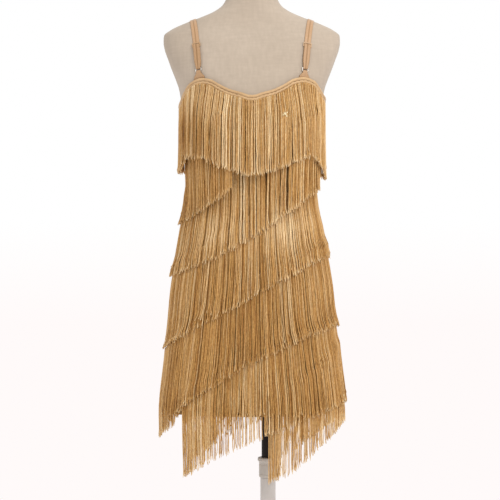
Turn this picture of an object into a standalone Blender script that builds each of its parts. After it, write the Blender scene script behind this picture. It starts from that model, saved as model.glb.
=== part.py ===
"""Fringed flapper dress on a limbless dress form with a telescoping pole stand.

Metres, +Z up. The dress front faces -Y. The origin is the centre of the base
plate's underside, on the pole's axis.
"""
import math

import bmesh
import bpy
import numpy as np

# Driving sizes of the stand
BASE_RADIUS = 0.145
BASE_EDGE = 0.008
BASE_BOSS_TOP = 0.030
BASE_BOSS_WALL = 0.008
BASE_SOCKET = 0.016
TUBE_RADIUS = 0.01675
TUBE_BORE = 0.0145
COLLAR_BOTTOM = 0.414
COLLAR_TOP = 0.458
COLLAR_RADIUS = 0.01975
COLLAR_LIP_RADIUS = 0.0225
COLLAR_LIP = 0.008
ROD_RADIUS = 0.014
ROD_BOTTOM = 0.230
GAP = 0.0003

# Torso and dress stand this far left of the pole
BODY_X = -0.0355
FORM_BOTTOM = 0.712
NECK_TOP = 1.490
NECK_CAP = 0.014
ROUNDNESS = 2.2
FORM_SIDES = 36

# Dress
WALL = 0.0015
HEM_Z = 0.562
SIDE_REACH = 0.15
BINDING_HEIGHT = 0.0135
BINDING_THICKNESS = 0.002
BINDING_PROUD = 0.0005
# What lies on the cloth clears it by the seam gap and the sag of flat facets
FACET_GAP = GAP + 0.0005
STRAP_WIDTH = 0.0145
STRAP_NARROW = 0.0105
STRAP_THICKNESS = 0.001
STRAP_LIFT = 0.0006
STRAP_X_FRONT = 0.113
STRAP_X_TOP = 0.129
STRAP_X_BACK = 0.104
STRAP_BACK_Z = 1.2665
RING_Z = 1.2965
RING_RADIUS = 0.0065
RING_WIRE = 0.0009
FOLD_SLACK = 0.0006
FOLD_LEAD = 0.004
STRAP_TAPER = 0.012
SLIDER_HEIGHT_ABOVE_RING = 0.051
SLIDER_SIZE = (0.0185, 0.010, 0.0014)
SLIDER_BAR = 0.0018
TAB_WIDTH = 0.026
TAB_DROP = 0.0145
SHOULDER_LOW = 1.372
SHOULDER_HIGH = 1.470

# Fringe
LOCKS_ROUND = 36
LOCK_SHARE = 0.80
TAPE_HEIGHT = 0.008
TAPE_DROP = 0.003
TAPE_THICKNESS = 0.0015
LOCK_THICKNESS = 0.0020
LOCK_STATIONS = (0.0, 0.30, 0.66, 1.0)
FRINGE_LENGTH = 0.182
# The bust row is shorter, shorter again under the left arm and longer under the right
BUST_LENGTH = 0.1645
BUST_CUT_LEFT = 0.026
BUST_CUT_RIGHT = -0.004
BUST_CUT_POWER = 10
ROW_CLEAR = 0.006
GRID_STEP = 0.004
GRID_LOW = 0.36
GRID_HIGH = 1.32
LAYER_GAP = 0.0009
STRAND_GAP = 0.0007
CLING = 0.040
HEM_MARGIN = 0.010

# Levels of the cloth's rows of faces, from the hem to the bust, and the rows above them
LEVELS = tuple(float(z) for z in np.linspace(HEM_Z, 1.190, 14))
TOP_ROWS = 7

# Torso sections: height, half width, front depth, back depth
FORM_SECTIONS = (
    (0.712, 0.136, 0.082, 0.090),
    (0.717, 0.150, 0.095, 0.104),
    (0.728, 0.158, 0.102, 0.112),
    (0.760, 0.164, 0.107, 0.118),
    (0.840, 0.168, 0.110, 0.121),
    (0.920, 0.155, 0.103, 0.108),
    (1.010, 0.128, 0.092, 0.088),
    (1.080, 0.130, 0.098, 0.091),
    (1.140, 0.1385, 0.111, 0.097),
    (1.190, 0.1505, 0.125, 0.104),
    (1.230, 0.1540, 0.117, 0.109),
    (1.262, 0.1590, 0.1050, 0.1115),
    (1.284, 0.1665, 0.0980, 0.1110),
    (1.306, 0.1752, 0.0910, 0.1085),
    (1.328, 0.1832, 0.0840, 0.1045),
    (1.349, 0.1905, 0.0760, 0.0985),
    (1.366, 0.1932, 0.0690, 0.0925),
    (1.379, 0.1925, 0.0620, 0.0850),
    (1.393, 0.1760, 0.0550, 0.0770),
    (1.406, 0.1480, 0.0500, 0.0720),
    (1.4195, 0.1125, 0.0480, 0.0670),
    (1.4326, 0.0825, 0.0475, 0.0620),
    (1.446, 0.0645, 0.0475, 0.0585),
    (1.459, 0.0570, 0.0475, 0.0560),
    (1.490, 0.0510, 0.0475, 0.0530),
)

# Outer face of the cloth: height, half width, front depth, back depth
CLOTH_SECTIONS = (
    (0.550, 0.1995, 0.150, 0.155),
    (0.583, 0.1980, 0.148, 0.153),
    (0.670, 0.1890, 0.138, 0.144),
    (0.758, 0.1800, 0.126, 0.134),
    (0.828, 0.1740, 0.119, 0.128),
    (0.898, 0.1630, 0.112, 0.118),
    (0.960, 0.1530, 0.107, 0.109),
    (1.010, 0.1420, 0.103, 0.101),
    (1.080, 0.1375, 0.105, 0.099),
    (1.140, 0.1430, 0.117, 0.102),
    (1.190, 0.1540, 0.1300, 0.1080),
    (1.230, 0.1575, 0.1220, 0.1130),
    (1.262, 0.1620, 0.1100, 0.1150),
    (1.300, 0.1755, 0.0980, 0.1135),
)

# Top edge of the dress: turn from the wearer's side towards the middle, height
FRONT_TOP_EDGE = (
    (0, 1.242),
    (14, 1.248),
    (21, 1.260),
    (28, 1.2745),
    (37, 1.2803),
    (46, 1.276),
    (56, 1.2635),
    (68, 1.251),
    (80, 1.2435),
    (90, 1.2363),
)
BACK_TOP_EDGE = ((0, 1.242), (25, 1.251), (43, 1.262), (60, 1.252), (90, 1.240))
# It has slipped lower under the left arm (seen from the front)
LEFT_SLIP = 0.017
LEFT_SLIP_POWER = 8

# Slanted fringe rows: height at the body's middle, rise and droop to the right (per metre,
# per metre squared), and how far from the middle the row's left end lies
SLANTED_ROWS = {
    "fringe_1": (1.246, 0.673, 0.0, -1.0),
    "fringe_2": (1.114, 0.645, 0.48, -1.0),
    "fringe_3": (0.988, 0.665, 0.0, -1.0),
    "fringe_4": (0.850, 0.645, -0.95, -1.0),
    "fringe_5": (0.688, 0.49, -0.4, -0.143),
    "fringe_6": (0.594, 0.155, 2.72, 0.033),
}

COLOURS = {
    "gold_fringe": ((0.52, 0.33, 0.15), 0.45, 0.0),
    "gold_knit": ((0.42, 0.25, 0.10), 0.50, 0.0),
    "tan_elastic": ((0.60, 0.38, 0.20), 0.40, 0.0),
    "form_linen": ((0.60, 0.49, 0.38), 0.90, 0.0),
    "black_paint": ((0.02, 0.015, 0.015), 0.35, 0.0),
    "grey_paint": ((0.48, 0.42, 0.38), 0.40, 0.0),
    "steel": ((0.75, 0.74, 0.72), 0.25, 1.0),
}


def smooth_columns(table, z):
    """Values of a table's columns at height z, on smooth curves through its rows."""
    rows = np.array(table)
    z = float(np.clip(z, rows[0, 0], rows[-1, 0]))
    i = int(np.clip(np.searchsorted(rows[:, 0], z) - 1, 0, len(rows) - 2))
    steps = np.diff(rows[:, 0])[:, None]
    slopes = np.diff(rows[:, 1:], axis=0) / steps
    product = slopes[:-1] * slopes[1:]
    total = np.where(product > 0, slopes[:-1] + slopes[1:], 1.0)
    inner = np.where(product > 0, 2 * product / total, 0.0)
    tangents = np.vstack((slopes[:1], inner, slopes[-1:]))
    h = steps[i, 0]
    t = (z - rows[i, 0]) / h
    start = (1 + 2 * t) * (1 - t) ** 2 * rows[i, 1:] + t * (1 - t) ** 2 * h * tangents[i]
    end = t * t * (3 - 2 * t) * rows[i + 1, 1:] + t * t * (t - 1) * h * tangents[i + 1]
    return start + end


def reach(sections, turn, z):
    """Distance from the body's axis to a surface, at an angle (radians) and height."""
    half_width, front, back = smooth_columns(sections, z)
    depth = front if math.sin(turn) < 0 else back
    across = (abs(math.cos(turn)) / half_width) ** ROUNDNESS
    deep = (abs(math.sin(turn)) / depth) ** ROUNDNESS
    return (across + deep) ** (-1 / ROUNDNESS)


def cloth_reach(turn, z):
    """Reach of the cloth's outer face, straight between its levels up to the bust."""
    if z >= LEVELS[-1]:
        return reach(CLOTH_SECTIONS, turn, z)
    i = int(np.clip(np.searchsorted(LEVELS, z) - 1, 0, len(LEVELS) - 2))
    low, high = LEVELS[i], LEVELS[i + 1]
    share = (z - low) / (high - low)
    return reach(CLOTH_SECTIONS, turn, low) * (1 - share) + reach(CLOTH_SECTIONS, turn, high) * share


def point_at(turn, radius, z):
    return (BODY_X + radius * math.cos(turn), radius * math.sin(turn), z)


def top_edge(turn):
    """Height of the dress's top edge at an angle."""
    table = FRONT_TOP_EDGE if math.sin(turn) < 0 else BACK_TOP_EDGE
    from_side = math.degrees(math.asin(min(1.0, abs(math.sin(turn)))))
    slip = LEFT_SLIP * max(0.0, -math.cos(turn)) ** LEFT_SLIP_POWER
    return float(smooth_columns(table, from_side)[0]) - slip


def material(name):
    found = bpy.data.materials.get(name)
    if found:
        return found
    colour, roughness, metallic = COLOURS[name]
    made = bpy.data.materials.new(name)
    made.use_nodes = True
    shader = made.node_tree.nodes["Principled BSDF"]
    shader.inputs["Base Color"].default_value = (*colour, 1)
    shader.inputs["Roughness"].default_value = roughness
    shader.inputs["Metallic"].default_value = metallic
    return made


def add_object(name, mesh, material_name, smooth=True):
    if smooth:
        mesh.shade_smooth()
        mesh.set_sharp_from_angle(angle=math.radians(40))
    made = bpy.data.objects.new(name, mesh)
    made.data.materials.append(material(material_name))
    PARTS.objects.link(made)
    return made


def mesh_from(name, points, faces):
    mesh = bpy.data.meshes.new(name)
    mesh.from_pydata(points, [], faces)
    shape = bmesh.new()
    shape.from_mesh(mesh)
    bmesh.ops.recalc_face_normals(shape, faces=shape.faces)
    shape.to_mesh(mesh)
    shape.free()
    return mesh


def turned(name, profile, material_name, sides=24):
    """A piece turned about the pole's axis, from (radius, height) points, top to bottom outside."""
    mesh = bpy.data.meshes.new(name)
    count = len(profile)
    closed = profile[0][0] > 0
    edges = [(i, i + 1) for i in range(count - 1)]
    if closed:
        edges.append((count - 1, 0))
    mesh.from_pydata([(radius, 0, z) for radius, z in profile], edges, [])
    made = add_object(name, mesh, material_name, smooth=False)
    screw = made.modifiers.new("turn", "SCREW")
    screw.steps = sides
    screw.render_steps = sides
    screw.use_merge_vertices = True
    screw.merge_threshold = 0.0001
    screw.use_smooth_shade = True
    return made


def add_stand():
    boss = TUBE_RADIUS + BASE_BOSS_WALL
    socket = BASE_BOSS_TOP - BASE_SOCKET
    turned("base_plate", [
        (0, socket),
        (TUBE_RADIUS + GAP, socket),
        (TUBE_RADIUS + GAP, BASE_BOSS_TOP),
        (boss - 0.002, BASE_BOSS_TOP),
        (boss, BASE_BOSS_TOP - 0.003),
        (boss + 0.003, BASE_EDGE + 0.006),
        (BASE_RADIUS - 0.012, BASE_EDGE),
        (BASE_RADIUS - 0.002, BASE_EDGE - 0.002),
        (BASE_RADIUS, BASE_EDGE - 0.004),
        (BASE_RADIUS, 0.0),
        (0, 0.0),
    ], "grey_paint", sides=40)
    turned("stand_tube", [
        (TUBE_BORE, COLLAR_BOTTOM - GAP),
        (TUBE_RADIUS, COLLAR_BOTTOM - GAP),
        (TUBE_RADIUS, socket + GAP),
        (TUBE_BORE, socket + GAP),
    ], "grey_paint")
    bore = ROD_RADIUS + GAP
    turned("height_collar", [
        (bore, COLLAR_TOP),
        (COLLAR_LIP_RADIUS - 0.0015, COLLAR_TOP),
        (COLLAR_LIP_RADIUS, COLLAR_TOP - 0.002),
        (COLLAR_LIP_RADIUS - 0.0005, COLLAR_TOP - COLLAR_LIP),
        (COLLAR_RADIUS, COLLAR_TOP - COLLAR_LIP - 0.004),
        (COLLAR_RADIUS, COLLAR_BOTTOM + 0.002),
        (COLLAR_RADIUS - 0.002, COLLAR_BOTTOM),
        (bore, COLLAR_BOTTOM),
    ], "grey_paint")
    turned("rod", [
        (0, FORM_BOTTOM - GAP),
        (ROD_RADIUS, FORM_BOTTOM - GAP),
        (ROD_RADIUS, ROD_BOTTOM),
        (0, ROD_BOTTOM),
    ], "black_paint")


def rings_body(name, sections_of, heights, material_name, sides):
    """A closed body lofted through horizontal rings, with flat ends."""
    points = []
    for z in heights:
        for i in range(sides):
            turn = 2 * math.pi * i / sides
            points.append(point_at(turn, sections_of(turn, z), z))
    faces = [tuple(reversed(range(sides)))]
    for row in range(len(heights) - 1):
        for i in range(sides):
            j = (i + 1) % sides
            low = row * sides
            faces.append((low + i, low + j, low + sides + j, low + sides + i))
    last = (len(heights) - 1) * sides
    faces.append(tuple(range(last, last + sides)))
    return add_object(name, mesh_from(name, points, faces), material_name)


def torso_reach(turn, z):
    return reach(FORM_SECTIONS, turn, z)


def add_form():
    heights = [row[0] for row in FORM_SECTIONS]
    rings_body("form_torso", torso_reach, heights, "form_linen", FORM_SIDES)
    cap_rows = ((0.0, 1.0), (0.55, 1.0), (0.85, 0.93), (1.0, 0.80))
    scale_at = {NECK_TOP + GAP + NECK_CAP * up: share for up, share in cap_rows}
    rings_body(
        "neck_cap",
        lambda turn, z: torso_reach(turn, NECK_TOP) * scale_at[z],
        list(scale_at),
        "grey_paint",
        FORM_SIDES,
    )


def curved_wall(name, turns, heights_of, inner_lift, outer_lift, material_name):
    """A wall between two lifts off the cloth's outer face, with its four edges closed."""
    columns = len(turns)
    rows = len(heights_of(turns[0])) - 1
    points = []
    for lift in (inner_lift, outer_lift):
        for turn in turns:
            for z in heights_of(turn):
                points.append(point_at(turn, cloth_reach(turn, z) + lift, z))
    offset = columns * (rows + 1)

    def index(column, row, side):
        return side * offset + column * (rows + 1) + row

    faces = []
    for c in range(columns - 1):
        for r in range(rows):
            for side in (0, 1):
                near, far = index(c, r, side), index(c + 1, r, side)
                faces.append((near, far, far + 1, near + 1))
        for r in (0, rows):
            faces.append((index(c, r, 0), index(c + 1, r, 0), index(c + 1, r, 1), index(c, r, 1)))
    for c in (0, columns - 1):
        for r in range(rows):
            faces.append((index(c, r, 0), index(c, r + 1, 0), index(c, r + 1, 1), index(c, r, 1)))
    return add_object(name, mesh_from(name, points, faces), material_name)


def half_turns(front, count):
    """Angles across the front or the back, short of the side seams by half a gap."""
    seam = GAP / 2 / SIDE_REACH
    start = math.pi if front else 0.0
    turns = [start + math.pi * i / (count - 1) for i in range(count)]
    turns[0] += seam
    turns[-1] -= seam
    return turns


def panel_heights(turn):
    return [*LEVELS, *np.linspace(LEVELS[-1], top_edge(turn), TOP_ROWS + 1)[1:]]


def binding_heights(turn):
    top = top_edge(turn) + BINDING_PROUD
    return [top - BINDING_HEIGHT, top]


def add_panels():
    for side, front in (("front", True), ("back", False)):
        turns = half_turns(front, LOCKS_ROUND // 2 + 1)
        curved_wall(side + "_panel", turns, panel_heights, -WALL, 0.0, "gold_knit")
        turns = half_turns(front, LOCKS_ROUND + 1)
        outer_lift = FACET_GAP + BINDING_THICKNESS
        curved_wall(side + "_binding", turns, binding_heights, FACET_GAP, outer_lift, "tan_elastic")


def row_line(name):
    """The top of a fringe row's tape: a function of the angle, or None where it has none."""
    bust_tape_bottom = BINDING_HEIGHT + TAPE_DROP + TAPE_HEIGHT + ROW_CLEAR

    def bust(turn):
        return top_edge(turn) - BINDING_HEIGHT - TAPE_DROP

    if name == "fringe_0":
        return bust
    middle, rise, droop, left_end = SLANTED_ROWS[name]

    def slanted(turn):
        z = middle
        for _ in range(8):
            x = reach(CLOTH_SECTIONS, turn, z) * math.cos(turn)
            z = middle + rise * x + droop * x * x
        under_bust = z < top_edge(turn) - bust_tape_bottom
        return z if under_bust and x > left_end else None

    return slanted


def row_length(name, turn):
    """Length of a row's fringe at an angle, tape included."""
    if name in SLANTED_ROWS:
        return FRINGE_LENGTH
    cut = BUST_CUT_LEFT if math.cos(turn) < 0 else BUST_CUT_RIGHT
    return BUST_LENGTH - cut * abs(math.cos(turn)) ** BUST_CUT_POWER


class Layers:
    """How far out the cloth and the fringe already hung reach, at each edge angle."""

    def __init__(self, turns):
        self.heights = np.arange(GRID_LOW, GRID_HIGH, GRID_STEP)
        self.outer = {}
        for turn in turns:
            cloth = [cloth_reach(turn, max(z, HEM_Z)) for z in self.heights]
            self.outer[turn] = np.where(self.heights < HEM_Z, 0.0, np.array(cloth))

    def hang(self, turn, top, length, stations, cling):
        """Inner reach of a strand at each station down its length, draped over what lies below."""
        outer = self.outer[turn]
        inside = np.zeros(len(self.heights))
        low = top - length - HEM_MARGIN
        lowest, highest = low - GRID_STEP, top + GRID_STEP
        span = [i for i in range(len(self.heights)) if lowest < self.heights[i] < highest]
        carried = 0.0
        for i in reversed(span):
            carried = max(outer[i] + LAYER_GAP, carried - cling * GRID_STEP)
            inside[i] = carried
        heights = [top - length * share for share in stations]
        reaches = [float(np.interp(z, self.heights[span], inside[span])) for z in heights]
        for _ in range(3):
            for s in range(len(stations) - 1):
                lower = heights[s + 1] - (HEM_MARGIN if s == len(stations) - 2 else 0)
                between = [i for i in span if lower <= self.heights[i] <= heights[s]]
                chord = np.interp(self.heights[between], heights[s:s + 2][::-1], reaches[s:s + 2][::-1])
                short = float(np.max(inside[between] - chord, initial=0.0))
                reaches[s] += short
                reaches[s + 1] += short
        return heights, reaches

    def cover(self, turn, heights, reaches, thickness):
        """Add a hung strand to what later strands must clear."""
        order = np.argsort(heights)
        z = np.array(heights)[order]
        r = np.array(reaches)[order] + thickness + STRAND_GAP
        inside = (self.heights >= z[0]) & (self.heights <= z[-1])
        added = np.interp(self.heights, z, r)
        self.outer[turn] = np.where(inside, np.maximum(self.outer[turn], added), self.outer[turn])


def lock_edges():
    """Start and end angle of each lock place round the body."""
    places = []
    pitch = 2 * math.pi / LOCKS_ROUND
    for i in range(LOCKS_ROUND):
        middle = (i + 0.5) * pitch
        places.append((middle - pitch * LOCK_SHARE / 2, middle + pitch * LOCK_SHARE / 2))
    return places


def fringe_columns(name, layers, places):
    """For each lock place that a row passes: its two edges, as heights and reaches of tape and lock."""
    line = row_line(name)
    cling = CLING if name in SLANTED_ROWS else 0.0
    columns = []
    for place in places:
        tops = [line(turn) for turn in place]
        if None in tops:
            columns.append(None)
            continue
        edges = []
        for turn, top in zip(place, tops):
            low = top - TAPE_HEIGHT
            tape_heights, tape = layers.hang(turn, top, TAPE_HEIGHT, (0.0, 1.0), cling)
            length = row_length(name, turn) - TAPE_HEIGHT
            heights, strand = layers.hang(turn, low, length, LOCK_STATIONS, cling)
            strand[0] = max(strand[0], tape[1])
            tape = [max(tape), max(tape[1], strand[0])]
            edges.append((turn, tape_heights, tape, heights, strand))
        columns.append(edges)
    return columns


def add_fringe(name, layers, places):
    """One tape with its locks: the locks are drawn down from the tape's underside."""
    columns = fringe_columns(name, layers, places)
    count = len(columns)
    closed = all(columns)
    start = 0
    if not closed:
        start = next(i for i in range(count) if columns[i] and not columns[i - 1])
    order = [columns[(start + i) % count] for i in range(count)]
    order = [edges for edges in order if edges]
    points = []
    faces = []
    stations = []
    for edges in order:
        for turn, tape_z, tape, heights, strand in edges:
            first = len(points)
            outer = max(TAPE_THICKNESS, LOCK_THICKNESS)
            points.append(point_at(turn, tape[0], tape_z[0]))
            points.append(point_at(turn, tape[0] + TAPE_THICKNESS, tape_z[0]))
            points.append(point_at(turn, tape[1] + outer, tape_z[1]))
            points.append(point_at(turn, tape[1], tape_z[1]))
            strands = []
            for z, r in zip(heights[1:], strand[1:]):
                strands.append(len(points))
                points.append(point_at(turn, r, z))
                points.append(point_at(turn, r + LOCK_THICKNESS, z))
            stations.append((first, strands))
            layers.cover(turn, tape_z, tape, outer)
            layers.cover(turn, heights, strand, LOCK_THICKNESS)
    total = len(stations)
    for i in range(total if closed else total - 1):
        (a, a_down), (b, b_down) = stations[i], stations[(i + 1) % total]
        faces.append((a, b, b + 1, a + 1))
        faces.append((a + 1, b + 1, b + 2, a + 2))
        faces.append((a + 3, b + 3, b, a))
        if i % 2:
            faces.append((a + 2, b + 2, b + 3, a + 3))
            continue
        upper = (a + 3, a + 2, b + 2, b + 3)
        for left, right in zip(a_down, b_down):
            lower = (left, left + 1, right + 1, right)
            for k in range(4):
                n = (k + 1) % 4
                faces.append((upper[k], upper[n], lower[n], lower[k]))
            upper = lower
        faces.append(upper)
    if not closed:
        faces.append(tuple(stations[0][0] + k for k in range(4)))
        faces.append(tuple(stations[-1][0] + k for k in range(4)))
    return add_object(name, mesh_from(name, points, faces), "gold_fringe", smooth=False)


def add_fringes():
    places = lock_edges()
    layers = Layers([turn for place in places for turn in place])
    for name in reversed(["fringe_0", *SLANTED_ROWS]):
        add_fringe(name, layers, places)


def surface_depth(x, z):
    """Depth of the torso's surface at a distance x from its middle, front and back alike."""
    half_width, front, back = smooth_columns(FORM_SECTIONS, z)
    share = max(0.0, 1 - (abs(x) / half_width) ** ROUNDNESS) ** (1 / ROUNDNESS)
    return front * share, back * share


def shoulder_height(x):
    """Height where the torso's half width comes down to x, at the top of the shoulder."""
    low, high = SHOULDER_LOW, SHOULDER_HIGH
    for _ in range(40):
        middle = (low + high) / 2
        if smooth_columns(FORM_SECTIONS, middle)[0] > x:
            low = middle
        else:
            high = middle
    return low


def outward_from_form(x, y, z):
    """Unit direction straight out of the torso's surface at a point, x from its middle."""

    def level(at_x, at_y, at_z):
        half_width, front, back = smooth_columns(FORM_SECTIONS, at_z)
        depth = front if at_y < 0 else back
        return (abs(at_x) / half_width) ** ROUNDNESS + (abs(at_y) / depth) ** ROUNDNESS

    step = 0.002
    slope = np.array((
        level(x + step, y, z) - level(x - step, y, z),
        level(x, y + step, z) - level(x, y - step, z),
        level(x, y, z + step) - level(x, y, z - step),
    ))
    return slope / np.linalg.norm(slope)


def strap_route(side, count=33):
    """Points, run, outward and crossways directions of a strap's line on the torso."""
    points = []
    outward = []
    for i in range(count):
        s = -1 + 2 * i / (count - 1)
        end_x, end_z = (STRAP_X_FRONT, RING_Z) if s < 0 else (STRAP_X_BACK, STRAP_BACK_Z)
        x = STRAP_X_TOP + (end_x - STRAP_X_TOP) * abs(s) ** 1.5
        ridge = shoulder_height(x)
        z = ridge - (ridge - end_z) * s * s
        front, back = surface_depth(x, z)
        y = -front if s < 0 else back
        points.append((BODY_X + side * x, y, z))
        outward.append(outward_from_form(side * x, y, z))
    points = np.array(points)
    outward = np.array(outward)
    outward[1:-1] = (outward[:-2] + 2 * outward[1:-1] + outward[2:]) / 4
    tangents = np.gradient(points, axis=0)
    tangents /= np.linalg.norm(tangents, axis=1)[:, None]
    across = np.cross(tangents, outward)
    across /= np.linalg.norm(across, axis=1)[:, None]
    return points, tangents, np.cross(across, tangents), across


def ribbon(name, centres, outward, across, widths, material_name):
    """A closed flat band along a line of centres."""
    points = []
    for centre, up, side, width in zip(centres, outward, across, widths):
        for a, b in ((-1, -1), (1, -1), (1, 1), (-1, 1)):
            points.append(tuple(centre + side * (a * width / 2) + up * (b * STRAP_THICKNESS / 2)))
    faces = [(3, 2, 1, 0)]
    count = len(centres)
    for i in range(count - 1):
        for k in range(4):
            n = (k + 1) % 4
            faces.append((i * 4 + k, i * 4 + n, i * 4 + 4 + n, i * 4 + 4 + k))
    last = (count - 1) * 4
    faces.append((last, last + 1, last + 2, last + 3))
    return add_object(name, mesh_from(name, points, faces), material_name)


def fold(centre, along, up, radius, steps=6):
    """Half a turn round a ring's wire, from the outer run to the inner one."""
    centres = []
    normals = []
    for i in range(steps + 1):
        angle = math.pi / 2 - math.pi * i / steps
        direction = up * math.sin(angle) - along * math.cos(angle)
        centres.append(centre + direction * radius)
        normals.append(direction)
    return centres, normals


def add_strap(word, side):
    """One strap with its ring, slider and tab, on the side given by +1 or -1."""
    route, tangents, outward, across = strap_route(side)
    up, along, wide = outward[0], tangents[0], across[0]
    run_gap = RING_WIRE + GAP + STRAP_THICKNESS / 2
    lift_inner = STRAP_LIFT + STRAP_THICKNESS / 2
    ring_lift = lift_inner + run_gap
    ring_centre = route[0] + up * ring_lift
    lengths = np.concatenate(([0], np.cumsum(np.linalg.norm(np.diff(route, axis=0), axis=1))))

    def on_route(length, lift):
        place = [np.interp(length, lengths, route[:, k]) for k in range(3)]
        normal = np.array([np.interp(length, lengths, outward[:, k]) for k in range(3)])
        side_way = np.array([np.interp(length, lengths, across[:, k]) for k in range(3)])
        return np.array(place) + normal * lift, normal, side_way

    def width_at(length):
        share = min(1.0, max(0.0, (length - RING_RADIUS) / STRAP_TAPER))
        return STRAP_NARROW + (STRAP_WIDTH - STRAP_NARROW) * share

    sag = RING_RADIUS - math.sqrt(RING_RADIUS ** 2 - (STRAP_NARROW / 2) ** 2)
    fold_at = RING_RADIUS - sag - FOLD_SLACK
    slider_at = SLIDER_HEIGHT_ABOVE_RING
    centres, normals, sides, widths = [], [], [], []
    return_lift = ring_lift + run_gap
    for length in np.linspace(slider_at, fold_at + FOLD_LEAD, 6):
        centre, normal, side_way = on_route(length, return_lift)
        centres.append(centre)
        normals.append(normal)
        sides.append(side_way)
        widths.append(width_at(length))
    bent, bent_normals = fold(ring_centre + along * fold_at, along, up, run_gap)
    centres += bent
    normals += bent_normals
    sides += [wide] * len(bent)
    widths += [STRAP_NARROW] * len(bent)
    inner = [length for length in lengths if length > fold_at + FOLD_LEAD]
    for length in (fold_at + FOLD_LEAD, *inner):
        centre, normal, side_way = on_route(length, lift_inner)
        centres.append(centre)
        normals.append(normal)
        sides.append(side_way)
        widths.append(width_at(length))
    ribbon("strap_" + word, centres, normals, sides, widths, "tan_elastic")

    bpy.ops.mesh.primitive_torus_add(
        major_radius=RING_RADIUS, minor_radius=RING_WIRE, major_segments=16, minor_segments=6
    )
    ring = bpy.context.object
    place_piece(ring, "ring_" + word, ring_centre, wide, along, up, "steel")

    slider_centre, normal, side_way = on_route(slider_at + SLIDER_SIZE[1] / 2 + GAP, lift_inner)
    slider_centre = slider_centre + normal * (STRAP_THICKNESS / 2 + GAP + SLIDER_SIZE[2] / 2)
    add_slider("slider_" + word, slider_centre, side_way, np.cross(normal, side_way), normal)

    add_tab("tab_" + word, ring_centre, wide, along, up, run_gap, fold_at)


def place_piece(piece, name, centre, x_way, y_way, z_way, material_name):
    """Name a primitive, move it to the parts and set it square to three directions."""
    piece.name = name
    piece.data.name = name
    turn = np.eye(4)
    turn[:3, 0] = x_way
    turn[:3, 1] = y_way
    turn[:3, 2] = z_way
    turn[:3, 3] = centre
    if np.linalg.det(turn[:3, :3]) < 0:
        turn[:3, 0] = -turn[:3, 0]
    piece.matrix_world = [list(row) for row in turn]
    piece.matrix_world.transpose()
    for collection in list(piece.users_collection):
        collection.objects.unlink(piece)
    PARTS.objects.link(piece)
    piece.data.materials.append(material(material_name))
    piece.data.shade_smooth()


def add_slider(name, centre, x_way, y_way, z_way):
    """A flat frame with a middle bar: two windows cut through a plate."""
    width, height, thickness = SLIDER_SIZE
    window = (width - 2 * SLIDER_BAR, (height - 3 * SLIDER_BAR) / 2)
    xs = (-width / 2, -window[0] / 2, window[0] / 2, width / 2)
    half, bar = height / 2, SLIDER_BAR
    ys = (-half, bar - half, -bar / 2, bar / 2, half - bar, half)
    shape = bmesh.new()
    grid = [[shape.verts.new((x, y, -thickness / 2)) for x in xs] for y in ys]
    for row in range(len(ys) - 1):
        for column in range(len(xs) - 1):
            if column == 1 and row in (1, 3):
                continue
            low, high = grid[row], grid[row + 1]
            shape.faces.new((low[column], low[column + 1], high[column + 1], high[column]))
    raised = bmesh.ops.extrude_face_region(shape, geom=shape.faces[:])
    verts = [item for item in raised["geom"] if isinstance(item, bmesh.types.BMVert)]
    bmesh.ops.translate(shape, verts=verts, vec=(0, 0, thickness))
    bmesh.ops.recalc_face_normals(shape, faces=shape.faces)
    mesh = bpy.data.meshes.new(name)
    shape.to_mesh(mesh)
    shape.free()
    piece = bpy.data.objects.new(name, mesh)
    PARTS.objects.link(piece)
    place_piece(piece, name, centre, x_way, y_way, z_way, "steel")


def add_tab(name, ring_centre, wide, along, up, run_gap, fold_at):
    """The cloth loop that ties the ring to the binding, wider where it is sewn on."""
    centres, normals, widths = [], [], []
    outer = [(-TAB_DROP, TAB_WIDTH), (-fold_at - FOLD_LEAD, STRAP_NARROW)]
    for length, width in outer:
        centres.append(ring_centre + along * length + up * run_gap)
        normals.append(up)
        widths.append(width)
    bent, bent_normals = fold(ring_centre - along * fold_at, -along, up, run_gap)
    centres += bent
    normals += bent_normals
    widths += [STRAP_NARROW] * len(bent)
    for length, width in reversed(outer):
        centres.append(ring_centre + along * length - up * run_gap)
        normals.append(-up)
        widths.append(width)
    ribbon(name, centres, normals, [wide] * len(centres), widths, "tan_elastic")


for old in list(bpy.data.objects):
    bpy.data.objects.remove(old, do_unlink=True)
PARTS = bpy.data.collections.new("flapper_dress_on_form")
bpy.context.scene.collection.children.link(PARTS)

add_stand()
add_form()
add_panels()
add_fringes()
add_strap("left", -1)
add_strap("right", 1)
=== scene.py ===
"""Looks of a fringed flapper dress on a limbless dress form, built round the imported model.

Metres, +Z up, the dress front faces -Y. The shapes follow the same sections and rows as
the solids, sampled finely, and every strand of fringe is drawn for itself.
"""
import math

import bmesh
import bpy
import numpy as np
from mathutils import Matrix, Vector


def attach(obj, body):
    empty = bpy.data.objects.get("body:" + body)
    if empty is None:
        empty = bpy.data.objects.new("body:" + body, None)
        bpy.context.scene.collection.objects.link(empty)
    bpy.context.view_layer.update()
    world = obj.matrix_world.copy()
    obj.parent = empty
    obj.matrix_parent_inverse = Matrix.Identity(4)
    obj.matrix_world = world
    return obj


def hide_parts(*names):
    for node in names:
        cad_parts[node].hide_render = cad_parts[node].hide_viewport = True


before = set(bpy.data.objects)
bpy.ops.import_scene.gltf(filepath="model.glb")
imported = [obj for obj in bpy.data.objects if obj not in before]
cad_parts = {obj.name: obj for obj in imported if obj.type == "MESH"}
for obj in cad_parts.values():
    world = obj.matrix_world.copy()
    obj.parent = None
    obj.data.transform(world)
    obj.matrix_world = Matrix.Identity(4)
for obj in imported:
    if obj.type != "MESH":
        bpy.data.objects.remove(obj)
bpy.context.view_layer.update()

# The photograph's frame: metres a pixel at the body, and what lies at its middle
PIXEL = 0.00219
FRAME_PIXELS = 500
FRAME_MIDDLE = (-0.0394, 0.9114)
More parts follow.
